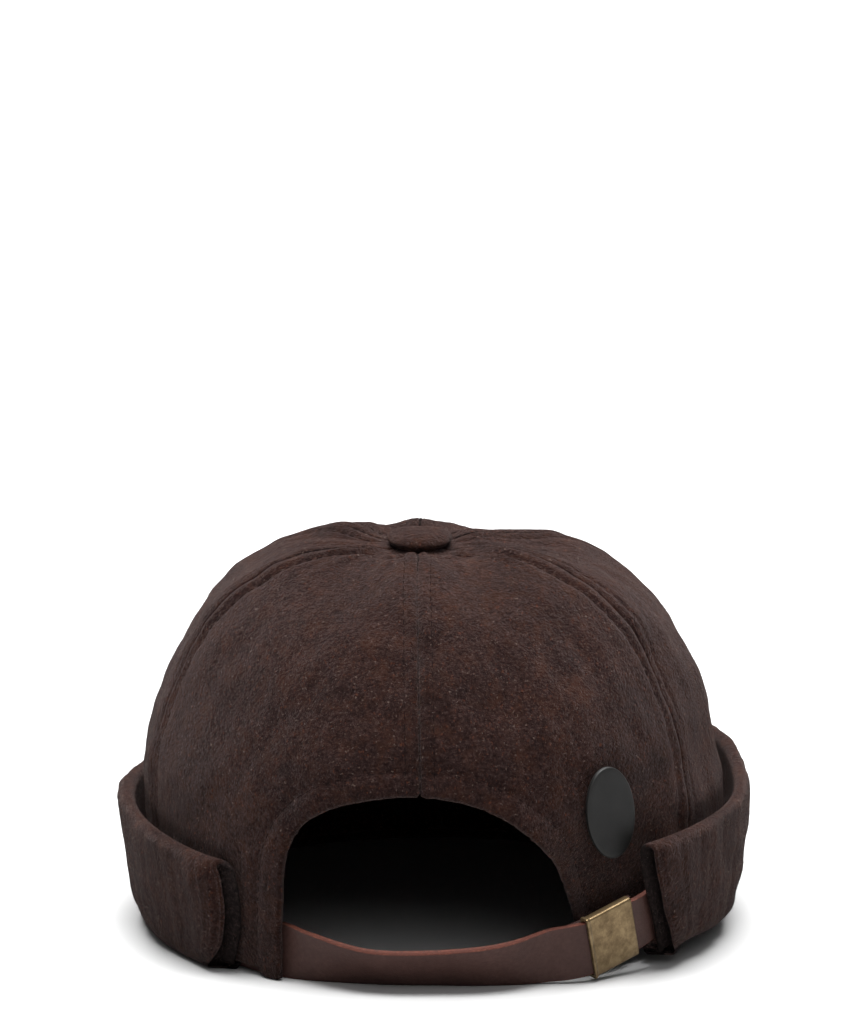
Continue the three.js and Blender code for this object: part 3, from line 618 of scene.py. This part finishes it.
def button_object(material):
    r = BUTTON_RADIUS
    profile = [(0, 0.1), (5, 0.1), (r - 2.6, 0.12), (r - 1.3, 0.45), (r - 0.45, 1.2), (r, 2.2),
               (r - 0.35, 3.1), (r - 1.4, 3.95), (r - 3.2, 4.5), (r - 6, 4.8), (0, BUTTON_HEIGHT)]
    keys = np.arange(len(profile))
    at = np.linspace(0, len(profile) - 1, 42)[1:-1]
    radii = curve(keys, [p[0] for p in profile], at)
    heights = curve(keys, [p[1] for p in profile], at)
    sides = ROUND_SIDES
    turns = np.linspace(0, 2 * pi, sides, endpoint=False)
    points, flat = [], []
    for radius, height in zip(radii, heights):
        ring = np.stack([radius * np.cos(turns), radius * np.sin(turns), np.full(sides, height)], axis=-1)
        gather = 0.05 * np.cos(13 * turns) * step(3.0, 0.4, height) + 0.1 * uneven(ring * 1.4, DENTS)
        ring[:, :2] *= (1 + gather / max(radius, 2.0))[:, None]
        ring[:, 2] += 0.09 * uneven(ring * 1.2, DENTS) * step(2, 4, height)
        ring[:, 2] -= BUTTON_TILT * (ring[:, 1] + np.sqrt(ring[:, 1] ** 2 + BUTTON_BEND))
        points.append(ring)
        underside = 0.03 if height < 2.7 else 0
        flat.append(np.stack([ring[:, 0] / MM + 3.1, ring[:, 1] / MM + underside], axis=-1))
    first, *between, last = tube_faces(len(radii), sides)
    points = np.concatenate(points) + np.array(BUTTON_CENTRE)
    obj = new_object("covered_button", points, between + [first, last], [material], np.concatenate(flat))
    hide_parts("top_button")
    return obj


def band_frame(back):
    """Origin and axes of the strap at an angle from the back: along it, up its width, out of its face."""
    def edge(b):
        angle = wrap(np.float64(180 - b))
        distance = reach(angle, 0) + curve(STRAP["angle"], STRAP["offset"], b)
        return place(angle, distance, float(curve(STRAP["angle"], STRAP["lift"], b)))

    along = unit(edge(back - 0.5) - edge(back + 0.5))
    level = unit(np.cross(along, [0, 0, 1]))
    lean = radians(float(curve(STRAP["angle"], STRAP["lean"], back)))
    up = np.cross(level, along) * cos(lean) + level * sin(lean)
    return edge(back), along, up, np.cross(along, up)


def strap_object(face_material, edge_material):
    w, t, r = STRAP_WIDTH, STRAP_THICK, 0.3
    section = []
    for y in np.linspace(r, w - r, 15):
        section.append((y, 0.06 * sin(pi * y / w), 0))
    section += [(w - 0.09, -0.09, 1), (w, -r, 1), (w + 0.03, -t / 2, 1), (w, r - t, 1),
                (w - 0.09, 0.09 - t, 1)]
    for y in np.linspace(w - r, r, 9):
        section.append((y, -t, 0))
    section += [(0.09, 0.09 - t, 1), (0, r - t, 1), (-0.03, -t / 2, 1), (0, -r, 1), (0.09, -0.09, 1)]
    size = len(section)
    angles = np.linspace(STRAP["angle"][0], STRAP["angle"][-1], STRAP_STATIONS)
    points, flat, length, before = [], [], 0.0, None
    rng = np.random.default_rng(5)
    fray = np.convolve(rng.normal(size=len(angles) + 8), np.ones(5) / 5, mode="same")
    for n, back in enumerate(angles):
        origin, _, up, out = band_frame(back)
        if before is not None:
            length += float(np.linalg.norm(origin - before))
        before = origin
        for y, z, raw in section:
            rough = 0.06 * fray[n] if raw and 0.3 < y else 0
            points.append(origin + up * (y + rough) + out * z)
            flat.append((length / MM, (y + (0.03 * MM if z < -0.8 else 0)) / MM))
    raw = [point[2] for point in section]
    band = [1 if raw[i] or raw[(i + 1) % size] else 0 for i in range(size)]
    kinds = [1] + band * (len(angles) - 1) + [1]
    faces = tube_faces(len(angles), size)
    obj = new_object("leather_strap", np.array(points), faces, [face_material, edge_material], flat, kinds)
    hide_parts("strap")


def rounded_rectangle(low, high, back, front, radius, steps=4):
    points = []
    for cy, cz, turn in ((high, front, 0), (low, front, 90), (low, back, 180), (high, back, 270)):
        y0 = cy + (-radius if cy == high else radius)
        z0 = cz + (-radius if cz == front else radius)
        for k in range(steps + 1):
            a = radians(turn + 90 * k / steps)
            points.append((y0 + radius * cos(a), z0 + radius * sin(a)))
    return points


def buckle_object(material):
    origin, along, up, out = band_frame(BUCKLE_ANGLE)
    middle, half = -STRAP_THICK / 2, BUCKLE_SLOT / 2
    rise = (BUCKLE_HEIGHT - STRAP_WIDTH) / 2
    low, high = -rise, STRAP_WIDTH + rise
    back, front = middle - half - BUCKLE_WALL, middle + half + BUCKLE_WALL
    length = BUCKLE_LENGTH / 2

    def ring(x, grow, shrink, bulge):
        """Outer and then inner outline of the sleeve at x."""
        outer = rounded_rectangle(low - grow, high + grow, back - min(grow, 0), front + grow, 0.8)
        inner = rounded_rectangle(low + BUCKLE_WALL - shrink, high - BUCKLE_WALL + shrink,
                                  middle - half - shrink, middle + half + shrink, 0.2)
        points = []
        for y, z in outer + inner:
            swell = bulge * sin(pi * min(max((y - low) / (high - low), 0), 1)) if z > middle else 0
            points.append(origin + along * x + up * y + out * (z + swell))
        return points

    stations = [
        (-length, 0.1, 0.0), (-length, 0.34, -0.1), (-length + 0.12, BUCKLE_LIP, -0.18),
        (-length + 0.45, BUCKLE_LIP + 0.04, -0.2), (-length + 0.78, BUCKLE_LIP - 0.06, -0.2),
        (-length + 1.0, 0.2, -0.2), (-length + 1.15, 0.03, -0.2), (-length + 1.5, 0, -0.2),
        (-3, 0, -0.2), (3, 0, -0.2), (length - 0.5, 0, -0.2), (length - 0.22, -0.03, -0.18),
        (length - 0.06, -0.12, -0.1), (length, -0.26, 0.0),
    ]
    points = []
    for x, grow, shrink in stations:
        bulge = 0.16 if abs(x) < 5 else 0.08 if abs(x) < length - 0.6 else 0
        points += ring(x, grow, shrink + 0.16, bulge)
    size = len(points) // len(stations) // 2
    faces = []
    for n in range(len(stations) - 1):
        a, b = n * 2 * size, (n + 1) * 2 * size
        for i in range(size):
            j = (i + 1) % size
            faces.append([a + i, a + j, b + j, b + i])
            faces.append([a + size + i, b + size + i, b + size + j, a + size + j])
    last = (len(stations) - 1) * 2 * size
    for i in range(size):
        j = (i + 1) % size
        faces.append([i, size + i, size + j, j])
        faces.append([last + i, last + j, last + size + j, last + size + i])
    obj = new_object("slide_buckle", np.array(points), faces, [material])
    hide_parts("buckle")


def badge_object(material):
    row = np.float64(BADGE_ROW)
    across = plain_crown(BADGE_ANGLE + 4, row) - plain_crown(BADGE_ANGLE - 4, row)
    rising = plain_crown(BADGE_ANGLE, row + 0.5) - plain_crown(BADGE_ANGLE, row - 0.5)
    out = unit(np.cross(across, rising))
    level = unit(np.cross([0, 0, 1], out))
    tilt = radians(BADGE_TILT)
    along = level * cos(tilt) + np.cross(out, level) * sin(tilt)
    up = np.cross(out, along)
    origin = plain_crown(BADGE_ANGLE, row) + out * BADGE_GAP
    profile = [(-9, 0.0), (-0.55, 0), (-0.2, 0.08), (-0.03, 0.3), (0, 0.65), (0, 1.05), (-0.08, 1.32),
               (-0.3, 1.5), (-0.62, BADGE_THICK), (-1.6, BADGE_THICK + 0.02), (-4, BADGE_THICK + 0.1),
               (-6.5, BADGE_THICK + 0.16), (-8.6, BADGE_THICK + 0.18)]
    sides = ROUND_SIDES
    points = []
    for inward, z in profile:
        for k in range(sides):
            turn = 2 * pi * k / sides
            x = max(BADGE_WIDTH / 2 + inward, 0.4) * cos(turn)
            y = max(BADGE_HEIGHT / 2 + inward * (1.55 if inward < -1.6 else 1), 0.6) * sin(turn)
            points.append(origin + along * x + up * y + out * z)
    obj = new_object("plain_plate", np.array(points), tube_faces(len(profile), sides), [material])
    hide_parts("badge")


def plain_crown(angle, row):
    """The crown's outer face as the part's source has it."""
    angle, row = np.float64(angle), np.float64(row)
    share = 0.5
    turn = angle + 360 if angle < seam_angle(0, row) else angle
    for gore in range(6):
        first, last = seam_angle(gore, row), seam_angle(gore + 1, row)
        if first <= turn <= last:
            share = (turn - first) / (last - first)
    return crown_skin(angle, row) + crown_normal(angle, row) * relief(angle, row, share)


def stitch_object(name, paths, material, length=2.4, pitch=3.4, radius=0.14):
    """Thread laid in short stitches along paths of points and normals."""
    sides = 6
    levels = [(-1.0, 0.25, -0.5), (-0.82, 0.8, -0.2), (-0.4, 1.0, 0.02),
              (0.4, 1.0, 0.02), (0.82, 0.8, -0.2), (1.0, 0.25, -0.5)]
    tube = tube_faces(len(levels), sides)
    points, faces = [], []
    for line, normals in paths:
        along = path_length(line)
        for at in np.arange(pitch / 2, along[-1] - pitch / 2, pitch):
            ends = [np.array([np.interp(at + d, along, line[:, k]) for k in range(3)])
                    for d in (-length / 2, length / 2)]
            up = unit(np.array([np.interp(at, along, normals[:, k]) for k in range(3)]))
            way = unit(ends[1] - ends[0])
            side = unit(np.cross(up, way))
            up = np.cross(way, side)
            middle = (ends[0] + ends[1]) / 2
            base = len(points)
            for f, size, sink in levels:
                centre = middle + way * f * length / 2 + up * (sink * 0.55 + radius * 0.35)
                for k in range(sides):
                    turn = 2 * pi * k / sides
                    points.append(centre + (up * cos(turn) + side * sin(turn)) * radius * size)
            faces += [[base + k for k in reversed(face)] for face in tube]
    obj = new_object(name, np.array(points), faces, [material])


def seam_path(gore, from_edge, end_row, from_last=False, clear=None):
    """Points and normals up a gore, at a distance from its edge, without those nearer the arch than clear."""
    rows = np.linspace(SEAM_START_ROW, end_row, SEAM_POINTS)
    share = from_edge / (gore_span(gore, rows)[3] - CLOTH)
    outer, _, normal, _ = crown_surface(gore, 1 - share if from_last else share, rows)
    if clear is not None:
        keep = from_arch(outer[:, 0], outer[:, 2]) > clear
        outer, normal = outer[keep], normal[keep]
    return outer, normal


def seam_stitches():
    """The two rows of stitches beside each seam."""
    inset = STITCH_FROM_SEAM - HALF_CLOTH
    return [seam_path(gore, inset, STITCH_END_ROW, from_last, STITCH_CLEAR if gore in BACK_GORES else None)
            for gore in range(6) for from_last in (False, True)]


def seam_threads():
    """The thread in the valley of each seam, where two gores meet."""
    paths = [seam_path(gore, -HALF_CLOTH, THREAD_END_ROW,
                       clear=THREAD_CLEAR if gore == BACK_GORES[1] else None) for gore in range(6)]
    return [(outer - THREAD_SINK * normal, normal) for outer, normal in paths]


def arch_stitches():
    """A row of stitches round the opening, where its hem is turned in."""
    line = arch_outline(400)
    way = np.gradient(line, axis=0)
    away = unit(np.stack([way[:, 1], -way[:, 0]], axis=-1))
    line = line + away * ARCH_HEM
    line = line[line[:, 1] > 3.2]
    paths, found = {2: [], 3: []}, {2: [], 3: []}
    for x, z in line:
        row = float(np.interp(z, CROWN["height"][:8], ROWS[:8]))
        off_centre = x - float(curve(ROWS, CROWN["centre_x"], row))
        angle = 180.0
        for _ in range(8):
            sine = np.clip(off_centre / reach(wrap(np.float64(angle)), row), -0.95, 0.95)
            angle = 180 - degrees(asin(sine))
        gore = 2 if angle < seam_angle(3, row) else 3
        first, last, size, _ = gore_span(gore, row)
        edge = degrees(HALF_CLOTH / size)
        share = (angle - first - edge) / (last - first - 2 * edge)
        if not 0.012 < share < 0.988:
            continue
        outer, _, normal, _ = crown_surface(gore, np.float64(share), np.float64(row))
        paths[gore].append(outer)
        found[gore].append(normal)
    return [(np.array(paths[gore]), np.array(found[gore])) for gore in BACK_GORES]


def fibres_object(name, sources, count, material, seed):
    """Loose fibres of brushed wool: thin closed slivers that lie on the outer faces of the cloth pieces."""
    rng = np.random.default_rng(seed)
    spots, facings, sizes = [], [], []
    for obj in sources:
        mesh = obj.data
        mesh.calc_loop_triangles()
        corners = np.empty(len(mesh.loop_triangles) * 3, int)
        mesh.loop_triangles.foreach_get("vertices", corners)
        places = np.empty(len(mesh.vertices) * 3)
        mesh.vertices.foreach_get("co", places)
        places = places.reshape(-1, 3) * MM
        triangle = places[corners.reshape(-1, 3)]
        cross = np.cross(triangle[:, 1] - triangle[:, 0], triangle[:, 2] - triangle[:, 0])
        area = np.linalg.norm(cross, axis=1) / 2
        facing = cross / np.maximum(2 * area, 1e-9)[:, None]
        centre = triangle.mean(axis=1)
        away = unit(centre - [0, 0, 25])
        shown = (facing * away).sum(axis=1) > 0.12
        spots.append(triangle[shown])
        facings.append(facing[shown])
        sizes.append(area[shown])
    triangle, facing, size = np.concatenate(spots), np.concatenate(facings), np.concatenate(sizes)
    chosen = rng.choice(len(size), count, p=size / size.sum())
    a, b = rng.random(count), rng.random(count)
    a, b = np.where(a + b > 1, 1 - a, a)[:, None], np.where(a + b > 1, 1 - b, b)[:, None]
    picked, up = triangle[chosen], facing[chosen]
    root = picked[:, 0] + (picked[:, 1] - picked[:, 0]) * a + (picked[:, 2] - picked[:, 0]) * b
    side = unit(np.cross(up, unit(rng.normal(size=(count, 3)))))
    standing = rng.uniform(*FIBRE_LEAN, count) + FIBRE_STAND * (rng.random(count) < FIBRE_STANDING)
    lift = np.radians(standing)[:, None]
    way = side * np.cos(lift) + up * np.sin(lift)
    across = unit(np.cross(way, up))
    third = np.cross(way, across)
    length = rng.uniform(*FIBRE_LENGTH, count)[:, None]
    thick = rng.uniform(*FIBRE_THICK, count)[:, None]
    root = root - up * FIBRE_SINK
    corners = [root + (across * cos(turn) + third * sin(turn)) * thick
               for turn in (0, 2 * pi / 3, 4 * pi / 3)]
    points = np.stack(corners + [root + way * length], axis=1).reshape(-1, 3) - CENTRING
    base = 4 * np.arange(count)[:, None, None]
    faces = (base + np.array([[0, 1, 3], [1, 2, 3], [2, 0, 3], [2, 1, 0]])).reshape(-1, 3).tolist()
    tones = np.repeat(np.stack([rng.random(count), rng.random(count)], axis=-1), 4, axis=0)
    obj = new_object(name, points, faces, [material], tones)


class Nodes:
    """Short calls for building one material."""

    def __init__(self, name):
        self.material = bpy.data.materials.new(name)
        self.material.use_nodes = True
        self.tree = self.material.node_tree
        self.shader = self.tree.nodes["Principled BSDF"]

    def add(self, kind, **settings):
        node = self.tree.nodes.new("ShaderNode" + kind)
        inputs = settings.pop("inputs", {})
        for key, value in settings.items():
            setattr(node, key, value)
        for key, value in inputs.items():
            self.set(node.inputs[key], value)
        return node

    def set(self, socket, value):
        if isinstance(value, bpy.types.NodeSocket):
            self.tree.links.new(value, socket)
        else:
            socket.default_value = value

    def place(self):
        return self.add("TexCoord").outputs["Object"]

    def cloth(self):
        return self.add("UVMap", uv_map="cloth").outputs["UV"]

    def scaled(self, vector, scale):
        return self.add("Mapping", inputs={"Vector": vector, "Scale": scale}).outputs["Vector"]

    def noise(self, vector, scale, detail=2.0, roughness=0.5, distortion=0.0):
        return self.add("TexNoise", inputs={
            "Vector": vector, "Scale": scale, "Detail": detail,
            "Roughness": roughness, "Distortion": distortion,
        }).outputs["Fac"]

    def ramp(self, fac, stops):
        node = self.add("ValToRGB", inputs={"Fac": fac})
        ramp = node.color_ramp
        while len(ramp.elements) < len(stops):
            ramp.elements.new(0.5)
        for element, (position, colour) in zip(ramp.elements, stops):
            element.position = position
            element.color = (*colour, 1)
        return node.outputs["Color"]

    def fade(self, fac, low, high, end, start=0.0):
        return self.add("MapRange", inputs={
            "Value": fac, "From Min": low, "From Max": high, "To Min": start, "To Max": end,
        }).outputs["Result"]

    def mix(self, fac, a, b, blend="MIX"):
        node = self.add("Mix", data_type="RGBA", blend_type=blend)
        self.set(node.inputs["Factor"], fac)
        for key, value in (("A", a), ("B", b)):
            self.set(node.inputs[key], (*value, 1) if isinstance(value, tuple) else value)
        return node.outputs["Result"]

    def math(self, operation, a, b=0.0):
        node = self.add("Math", operation=operation)
        self.set(node.inputs[0], a)
        self.set(node.inputs[1], b)
        return node.outputs[0]

    def total(self, *parts):
        """The sum of some heights, each times its weight."""
        first, *others = [self.math("MULTIPLY", value, weight) for value, weight in parts]
        for other in others:
            first = self.math("ADD", first, other)
        return first

    def bump(self, height, distance, strength=1.0):
        return self.add("Bump", inputs={
            "Height": height, "Distance": distance, "Strength": strength,
        }).outputs["Normal"]

    def finish(self, colour, rough, specular=0.5, normal=None, **others):
        sockets = {"Base Color": colour, "Roughness": rough, "Specular IOR Level": specular, **others}
        if normal is not None:
            sockets["Normal"] = normal
        for key, value in sockets.items():
            self.set(self.shader.inputs[key.replace("_", " ")], value)
        return self.material


def wool_material():
    n = Nodes("brushed_wool")
    place = n.place()
    fibres = n.noise(place, 1250, 4, 0.72, 0.25)
    felt = n.noise(n.scaled(place, (1.0, 1.0, 1.12)), 640, 4, 0.75, 0.3)
    patches = n.noise(place, 60, 3, 0.6)
    warm = n.noise(place, 170, 5, 0.72, 0.4)
    body = n.ramp(fibres, [(0.36, (0.009, 0.0034, 0.0027)), (0.47, (0.024, 0.0098, 0.0076)),
                           (0.56, (0.043, 0.0185, 0.0145)), (0.68, (0.1, 0.054, 0.045))])
    other = n.ramp(felt, [(0.36, (0.0105, 0.004, 0.0032)), (0.5, (0.029, 0.012, 0.0092)),
                          (0.66, (0.068, 0.034, 0.0275))])
    colour = n.mix(0.5, body, other)
    colour = n.mix(n.fade(warm, 0.48, 0.7, 0.5), colour, (0.062, 0.0205, 0.01))
    dark = n.mix(1.0, colour, (0.48, 0.59, 0.68), "MULTIPLY")
    light = n.mix(1.0, colour, (0.75, 0.85, 0.9), "MULTIPLY")
    colour = n.mix(n.fade(patches, 0.32, 0.68, 1.0), dark, light)
    specks = n.noise(place, 1000, 2, 0.6)
    colour = n.mix(n.fade(specks, 0.66, 0.74, 0.6), colour, (0.15, 0.105, 0.088))
    rust = n.noise(n.scaled(place, (1.3, 1.0, 0.9)), 820, 2, 0.6)
    colour = n.mix(n.fade(rust, 0.63, 0.72, 0.6), colour, (0.08, 0.025, 0.013))
    height = n.total((fibres, 1.2), (felt, 1.4))
    return n.finish(colour, 0.95, 0.04, n.bump(height, 0.0009),
                    Sheen_Weight=0.1, Sheen_Roughness=0.22, Sheen_Tint=(0.95, 0.8, 0.78, 1))


def painted_shade_wool_material():
    """Near-black wool for the hollow and the inner ply's rim at the cuff's ends: painted shade, standing in
    for the deep shadow between the plies and the crown.
    """
    n = Nodes("painted_shade_wool")
    felt = n.noise(n.place(), 800, 4, 0.72, 0.3)
    # Painted shade: these near-black tones stand in for the deep shadow in the cuff's end hollows.
    colour = n.ramp(felt, [(0.35, (0.0045, 0.0036, 0.0035)), (0.55, (0.0125, 0.009, 0.0086)),
                           (0.72, (0.028, 0.02, 0.019))])
    return n.finish(colour, 0.95, 0.03, n.bump(felt, 0.0012))


def fibre_material():
    """Loose wool fibres. Each takes one tone, from its own place in the cloth coordinates."""
    n = Nodes("wool_fibre")
    tone = n.add("SeparateXYZ", inputs={"Vector": n.cloth()}).outputs["X"]
    colour = n.ramp(tone, [(0.0, (0.008, 0.0042, 0.0036)), (0.42, (0.02, 0.0105, 0.009)),
                           (0.66, (0.04, 0.0215, 0.0185)), (0.8, (0.068, 0.026, 0.015)),
                           (0.91, (0.11, 0.07, 0.059)), (1.0, (0.26, 0.21, 0.19))])
    return n.finish(colour, 0.85, 0.08)


def thread_material():
    n = Nodes("dark_thread")
    twist = n.noise(n.place(), 5200, 2, 0.6)
    colour = n.ramp(twist, [(0.3, (0.004, 0.0025, 0.0025)), (0.7, (0.012, 0.007, 0.006))])
    return n.finish(colour, 0.9, 0.05, n.bump(twist, 0.0002, 0.6))


def leather_material():
    n = Nodes("smooth_leather")
    place, cloth = n.place(), n.cloth()
    pores = n.add("TexVoronoi", feature="F1", inputs={"Vector": place, "Scale": 1900.0})
    grain = n.noise(place, 700, 4, 0.6)
    cloud = n.noise(place, 85, 3, 0.6)
    creases = n.noise(n.scaled(cloth, (1.0, 0.14, 1.0)), 240, 3, 0.6, 0.5)
    colour = n.ramp(cloud, [(0.3, (0.044, 0.0215, 0.018)), (0.7, (0.063, 0.0325, 0.0278))])
    colour = n.mix(n.fade(grain, 0.35, 0.75, 0.5), colour, (0.03, 0.0134, 0.011))
    height = n.total((pores.outputs["Distance"], 0.5), (grain, 0.8), (creases, 0.6))
    return n.finish(colour, n.fade(cloud, 0.3, 0.7, 0.62, 0.5), 0.16, n.bump(height, 0.00012, 0.7))


def raw_edge_material():
    n = Nodes("raw_leather_edge")
    place, cloth = n.place(), n.cloth()
    layers = n.noise(n.scaled(cloth, (0.5, 1.0, 1.0)), 1700, 4, 0.75, 0.5)
    cloud = n.noise(place, 260, 3, 0.6)
    colour = n.ramp(layers, [(0.28, (0.04, 0.01, 0.0062)), (0.55, (0.105, 0.028, 0.0165)),
                             (0.8, (0.22, 0.078, 0.049))])
    colour = n.mix(n.fade(cloud, 0.42, 0.75, 0.6), colour, (0.052, 0.015, 0.01))
    return n.finish(colour, 0.72, 0.3, n.bump(layers, 0.0003, 0.8))


def brass_material():
    n = Nodes("antique_brass")
    place = n.place()
    patina = n.noise(place, 300, 5, 0.68, 0.2)
    spots = n.noise(place, 1100, 4, 0.7)
    brushed = n.noise(n.scaled(place, (1.0, 1.0, 0.08)), 2600, 2, 0.6)
    colour = n.ramp(patina, [(0.32, (0.09, 0.059, 0.029)), (0.5, (0.142, 0.098, 0.05)),
                             (0.68, (0.205, 0.147, 0.077))])
    colour = n.mix(n.fade(spots, 0.58, 0.8, 0.5), colour, (0.08, 0.054, 0.03))
    height = n.total((spots, 0.6), (brushed, 0.5))
    return n.finish(colour, n.fade(patina, 0.3, 0.7, 0.38, 0.52), normal=n.bump(height, 0.00007, 0.6),
                    Metallic=0.85)


def black_metal_material():
    n = Nodes("black_metal")
    place = n.place()
    grain = n.noise(place, 2600, 3, 0.7)
    cloud = n.noise(place, 160, 3, 0.6)
    edge = n.add("NewGeometry").outputs["Pointiness"]
    colour = n.ramp(cloud, [(0.3, (0.0042, 0.0041, 0.0039)), (0.7, (0.007, 0.0068, 0.0064))])
    # Where pointiness is high the colour is mixed towards a lighter grey: a painted highlight along the
    # plate's rounded rims.
    colour = n.mix(n.fade(edge, 0.53, 0.6, 0.5), colour, (0.06, 0.06, 0.057))
    return n.finish(colour, n.fade(grain, 0.3, 0.7, 0.6, 0.46), 0.24, n.bump(grain, 0.00006, 0.6),
                    Metallic=0.1)


def floor_material():
    return Nodes("pale_floor").finish((FLOOR_TONE, FLOOR_TONE, FLOOR_TONE, 1), 0.9, 0.1)


def studio():
    scene = bpy.context.scene
    camera = bpy.data.cameras.new("camera")
    camera.sensor_fit = "HORIZONTAL"
    camera.sensor_width = 36
    camera.clip_start, camera.clip_end = 0.01, 90
    obj = link_object("camera", camera)
    rise = radians(CAMERA_RISE)
    aim = Vector((CENTRING[0], CENTRING[1], 0)) / MM
    place_at = aim + Vector((0, cos(rise), sin(rise))) * CAMERA_DISTANCE
    right_of, below = (pixel - side / 2 for pixel, side in zip(AIM_PIXEL, PICTURE))
    focal = PIXELS_PER_MM * CAMERA_DISTANCE * MM
    focal = focal * cos(atan(below / focal))
    camera.lens = focal / PICTURE[0] * camera.sensor_width
    sideways = Matrix.Rotation(atan(right_of / focal), 3, "Y")
    turned = sideways @ Matrix.Rotation(atan(below / focal), 3, "X")
    look = (aim - place_at).to_track_quat("-Z", "Y").to_matrix()
    obj.matrix_world = Matrix.Translation(place_at) @ (look @ turned).to_4x4()
    scene.camera = obj

    floor = bpy.data.meshes.new("floor")
    s = FLOOR_HALF
    floor.from_pydata([(-s, -s, 0), (s, -s, 0), (s, s, 0), (-s, s, 0)], [], [(0, 1, 2, 3)])
    floor.materials.append(floor_material())
    ground = link_object("floor", floor)

    world = bpy.data.worlds.new("studio")
    world.use_nodes = True
    background = world.node_tree.nodes["Background"]
    background.inputs["Color"].default_value = (1, 1, 1, 1)
    background.inputs["Strength"].default_value = WORLD_STRENGTH
    scene.world = world
    for name, energy, angle, tilt, turn in LAMPS:
        light = bpy.data.lights.new(name, "SUN")
        light.energy, light.angle = energy, radians(angle)
        link_object(name, light).rotation_euler = (radians(tilt), 0, radians(turn))
    scene.view_settings.view_transform = "Standard"


wool = wool_material()
gores = [gore_object(number, wool) for number in range(6)]
cuff = cuff_object(wool, painted_shade_wool_material())
button = button_object(wool)
fibre = fibre_material()
fibres_object("crown_fibres", gores + [button], int(CROWN_FIBRES * FINE), fibre, CROWN_SEED)
fibres_object("cuff_fibres", [cuff], int(CUFF_FIBRES * FINE), fibre, CUFF_SEED)
thread = thread_material()
stitch_object("seam_topstitching", seam_stitches(), thread)
stitch_object("seam_threads", seam_threads(), thread, length=3.1, pitch=3.0, radius=0.42)
stitch_object("arch_topstitching", arch_stitches(), thread)
leather, raw_edge = leather_material(), raw_edge_material()
strap_object(leather, raw_edge)
buckle_object(brass_material())
badge_object(black_metal_material())
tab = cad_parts["buckle_tab"]
tab.data.materials.clear()
tab.data.materials.append(leather)
studio()
